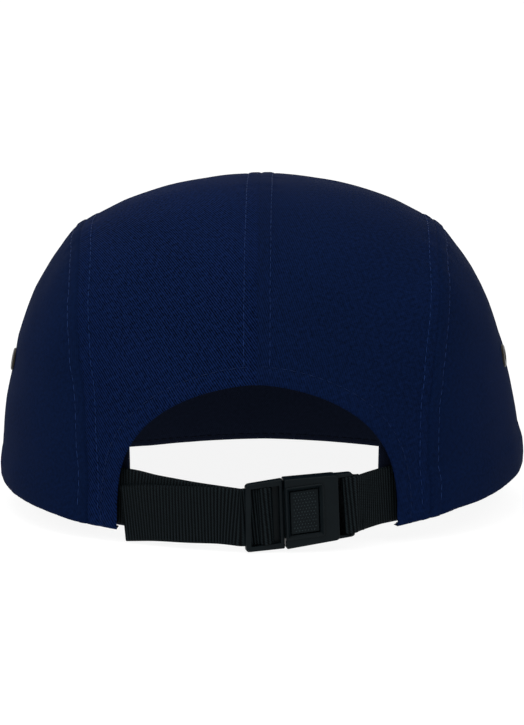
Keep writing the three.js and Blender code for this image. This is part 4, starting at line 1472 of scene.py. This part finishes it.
def eyeletPiece(side, material):
    name = "eyelet_left" if side < 0 else "eyelet_right"
    step = 0.001
    place = np.array([-eyelet["backset"], eyelet["height"]])
    centre = sidePoint(side, place[0], place[1])
    along = sidePoint(side, place[0] + step, place[1]) - centre
    above = sidePoint(side, place[0], place[1] + step) - centre
    normal = unit(np.cross(along, above))
    normal *= np.sign(normal[0] * centre[0])
    hole, edge = eyelet["hole"] / 2, eyelet["diameter"] / 2
    back, seat, dome = -crown["clothThickness"] - eyelet["behind"], eyelet["seat"], eyelet["dome"]
    profile = [(hole, back), (hole, seat + dome * 0.4)]
    profile += [
        (mix(hole, edge, 0.5) - (edge - hole) / 2 * math.cos(a), seat + dome * 0.4 + dome * 0.6 * math.sin(a))
        for a in np.linspace(0.4, np.pi - 0.3, 9)
    ]
    tube = hole + eyelet["wall"]
    profile += [(edge, seat + dome * 0.3), (edge, seat), (tube, seat), (tube, back)]
    bpy.ops.mesh.primitive_circle_add(vertices=len(profile), radius=0.001)
    piece = bpy.context.object
    piece.name = piece.data.name = name
    for vertex, (radius, height) in zip(piece.data.vertices, profile):
        vertex.co = (radius, 0, height)
    editAll(piece, spinRound, weld, faceOut)
    turn = Vector(normal).to_track_quat("Z", "Y").to_matrix().to_4x4()
    piece.data.transform(Matrix.Translation(centre + origin) @ turn)
    smooth(piece, 50)
    finishPiece(piece, material, "eyelet", name)


for side in (-1, 1):
    eyeletPiece(side, darkBrass)
print("eyelets made")


# Stitches: one small spindle, copied along each row into one mesh
bpy.ops.mesh.primitive_uv_sphere_add(segments=6, ring_count=5, radius=0.5)
spindle = bpy.context.object
spindlePoints = np.array([v.co for v in spindle.data.vertices])[:, [2, 0, 1]]
spindleFaces = [list(p.vertices) for p in spindle.data.polygons]
bpy.data.objects.remove(spindle)


def onCloth(spot, panels):
    # nearest spot and outward direction of the finished panels
    found = [panel.closest_point_on_mesh(Vector(spot + origin)) for panel in panels]
    best = min(found, key=lambda f: (f[1] - Vector(spot + origin)).length)
    return np.array(best[1]) - origin, np.array(best[2])


def stitchRows(name, rows, material, panels=()):
    # each row is (line, outward directions): stitches lie along the line, half sunk in the cloth
    points, faces = [], []
    for line, outward in rows:
        run = runAlong(line)
        starts = np.arange(stitching["pitch"] * 0.3, run[-1] - stitching["length"], stitching["pitch"])
        for start in starts:
            length = stitching["length"] * seed.uniform(0.82, 1.08)
            thread = stitching["thread"] * seed.uniform(0.8, 1.15)
            ends = [spotsAt(place, run, line) for place in (start, start + length)]
            up = unit(spotsAt(start + length / 2, run, outward))
            if panels:
                ends = [onCloth(end + up * 0.0004, panels)[0] for end in ends]
            middle = (ends[0] + ends[1]) / 2
            along = unit(ends[1] - ends[0])
            slant = np.cross(up, along)
            along = unit(along + slant * seed.normal(0, 0.03))
            slant = np.cross(up, along)
            basis = np.stack([along * length, slant * thread, up * thread * 0.8])
            faces += [[i + len(points) for i in face] for face in spindleFaces]
            points += list(spindlePoints @ basis + middle + up * thread * 0.2 + origin)
    piece = listPiece(name, [tuple(p) for p in points], faces)
    editAll(piece, faceOut)
    smooth(piece, 80)
    return finishPiece(piece, material, "twill")


def onSurface(lines):
    # line and outward direction from a line and the same line a little further in the panel
    line, further = lines
    along = unit(np.gradient(line, axis=0))
    return line, facingOut(unit(np.cross(along, further - line)), line)


def seamRow(pointAt, offset):
    # pointAt(inset) gives the seam line moved into the panel; the inset that is offset away is found
    base = pointAt(0.0)
    low, high = np.zeros(len(base)), np.full(len(base), 1.0)
    for _ in range(30):
        middle = (low + high) / 2
        away = np.linalg.norm(pointAt(middle) - base, axis=1)
        low, high = np.where(away < offset, middle, low), np.where(away < offset, high, middle)
    inset = (low + high) / 2
    return onSurface((pointAt(inset), pointAt(inset + 0.004)))


rowTurns = np.linspace(0.02, np.pi - 0.02, 600)


def sideSeamRows(side):
    y, z = seamAt(rowTurns)

    def intoSide(inset):
        return sidePoint(side, y * (1 - inset), z * (1 - inset))

    def intoStrip(inset):
        return stripPoint(side * (1 - inset) * np.ones_like(rowTurns), rowTurns)

    return [seamRow(intoSide, stitching["sideRow"][side]), seamRow(intoStrip, stitching["stripRow"][side])]


def centreRows():
    turns = np.linspace(float(archTurns[-1]) + 0.02, crossSeamTurn - 0.01, 400)
    return [
        seamRow(lambda inset: stripPoint(side * inset * np.ones_like(turns), turns), stitching["centre"])
        for side in (-1, 1)
    ]


def crossRows():
    shares = np.linspace(-0.99, 0.99, 400)

    def beside(way):
        # one row before the seam and one behind it
        return lambda inset: stripPoint(shares, crossSeamTurn + way * inset * np.ones_like(shares))

    return [seamRow(beside(way), stitching["cross"]) for way in (-1, 1)]


def archRow(side):
    # the hem's row keeps its distance from the arch, drawn in width and height
    x, z = archPoint(archAngles)
    along = unit(np.stack([np.gradient(x), np.gradient(z)], axis=1))
    inset = hemWidth(side, archAngles)
    x, z = x + along[:, 1] * inset, z - along[:, 0] * inset
    good = (x > 0.001) & (z > 0.001)
    share, turn = onStrip(x[good], z[good])
    row = stripPoint(side * share, turn)
    return onSurface((row, stripPoint(side * share, turn + 0.004)))


stitchRows("stitches_side_seams", sideSeamRows(-1) + sideSeamRows(1), navyThread, crownPanels)
stitchRows("stitches_top_seams", centreRows() + crossRows(), navyThread, crownPanels)
stitchRows("stitches_back_opening", [archRow(-1), archRow(1)], paintedShadeThread, crownPanels)


def peakRows():
    start, edgeX, edgeY = peakColumns()
    reach = np.hypot(edgeX - start[:, 0], edgeY - start[:, 1])
    rows = []
    for k in range(peak["rows"]):
        inset = peak["firstRow"] + k * peak["rowPitch"]
        outward = 1 - inset / reach
        good = outward > 0.03
        for side, up in ((1, 1.0), (0, -1.0)):
            surface = peakSurface(start[good], edgeX[good], edgeY[good], outward[good][:, None], side)[:, 0]
            surface[:, 2] -= peak["grooveDepth"] * up * 2 / 3
            rows.append((surface, np.tile([0, 0, up], (len(surface), 1))))
    return rows


stitchRows("stitches_peak", peakRows(), navyThread)


def bandRow():
    places = bandPlaces()[1:-1]
    line = np.array([bandStation(part, share, np.array(band["stitchHeight"])) for part, share in places])
    inward = -unit(line * np.array([1, 1, 0]))
    return line + inward * band["thickness"], inward


stitchRows("stitches_sweatband", [bandRow()], darkThread)
print("stitches made")

# Studio: pale floor that curves up behind, soft light from above, camera at the photo's angle
studio = {
    "floor": "#6c6c6c",
    "floorGlow": 0.9,
    "floorHalf": 3.0,
    "wallHeight": 3.0,
    "wallSweep": 0.8,
    "worldStrength": 0.85,
    "azimuth": 0.8,
    "elevation": 8.0,
    "distance": 1.0,
    "aim": (0.0005, 0.0, 0.0435),
    "pixelsPerMetre": 2766,
    "imageHeight": 725,
}
lamps = {
    "overhead": {"place": (-0.25, 0.0, 1.5), "target": (0, 0, 0.05), "size": (1.2, 1.2), "power": 10.3},
    "key": {"place": (-0.9, -1.1, 0.9), "target": (0, 0, 0.05), "size": (0.5, 0.5), "power": 4},
    "edge": {"place": (0.5, -0.9, 0.9), "target": (0, -0.1, 0.02), "size": (0.12, 0.5), "power": 2},
}


def studioFloor():
    # white acrylic light table: it glows, so that the shadows on it stay faint
    material, shader = newMaterial("lit white acrylic", studio["floor"], 0.9)
    shader.inputs["Specular IOR Level"].default_value = 0.0
    shader.inputs["Emission Color"].default_value = (1, 1, 1, 1)
    shader.inputs["Emission Strength"].default_value = studio["floorGlow"]
    bpy.ops.mesh.primitive_plane_add(size=studio["floorHalf"] * 2, location=(0, 0, 0))
    floor = bpy.context.object
    floor.name = "floor"
    selectEdges(floor, lambda a, b: min(a.y, b.y) > 0)
    bpy.ops.mesh.extrude_region_move(TRANSFORM_OT_translate={"value": (0, 0, studio["wallHeight"])})
    bpy.ops.object.mode_set(mode="OBJECT")
    bevelEdges(floor, lambda a, b: min(a.y, b.y) > 0 and max(a.z, b.z) < 0.001, studio["wallSweep"], 16)
    smooth(floor, 60)
    floor.data.materials.append(material)


def softLight(name, place, target, size, power):
    light = bpy.data.lights.new(name, "AREA")
    light.shape = "RECTANGLE"
    light.size, light.size_y = size
    light.energy = power
    lamp = bpy.data.objects.new(name, light)
    bpy.context.scene.collection.objects.link(lamp)
    lamp.location = place
    lamp.rotation_euler = (Vector(target) - Vector(place)).to_track_quat("-Z", "Y").to_euler()


def studioLight():
    scene = bpy.context.scene
    scene.world = bpy.data.worlds.new("studio")
    scene.world.use_nodes = True
    nodes = scene.world.node_tree.nodes
    background = nodes["Background"]
    background.inputs["Color"].default_value = (1, 1, 1, 1)
    # the backdrop itself is plain white, and lights the cap a little less
    path = nodes.new("ShaderNodeLightPath")
    strength = nodes.new("ShaderNodeMapRange")
    strength.inputs["To Min"].default_value = studio["worldStrength"]
    scene.world.node_tree.links.new(path.outputs["Is Camera Ray"], strength.inputs["Value"])
    scene.world.node_tree.links.new(strength.outputs["Result"], background.inputs["Strength"])
    for name, lamp in lamps.items():
        softLight(name, **lamp)
    scene.view_settings.view_transform = "Standard"
    scene.view_settings.look = "None"


def studioCamera():
    a, e = math.radians(studio["azimuth"]), math.radians(studio["elevation"])
    back = Vector((math.sin(a) * math.cos(e), -math.cos(a) * math.cos(e), math.sin(e)))
    aim = Vector(studio["aim"]) + Vector(origin)
    camera = bpy.data.cameras.new("camera")
    camera.sensor_fit = "VERTICAL"
    camera.sensor_height = 36
    camera.lens = studio["pixelsPerMetre"] * studio["distance"] / studio["imageHeight"] * camera.sensor_height
    camera.clip_start = 0.01
    holder = bpy.data.objects.new("camera", camera)
    bpy.context.scene.collection.objects.link(holder)
    holder.location = aim + back * studio["distance"]
    holder.rotation_euler = back.to_track_quat("Z", "Y").to_euler()
    bpy.context.scene.camera = holder


studioFloor()
studioLight()
studioCamera()
print("studio made")

bpy.context.view_layer.update()
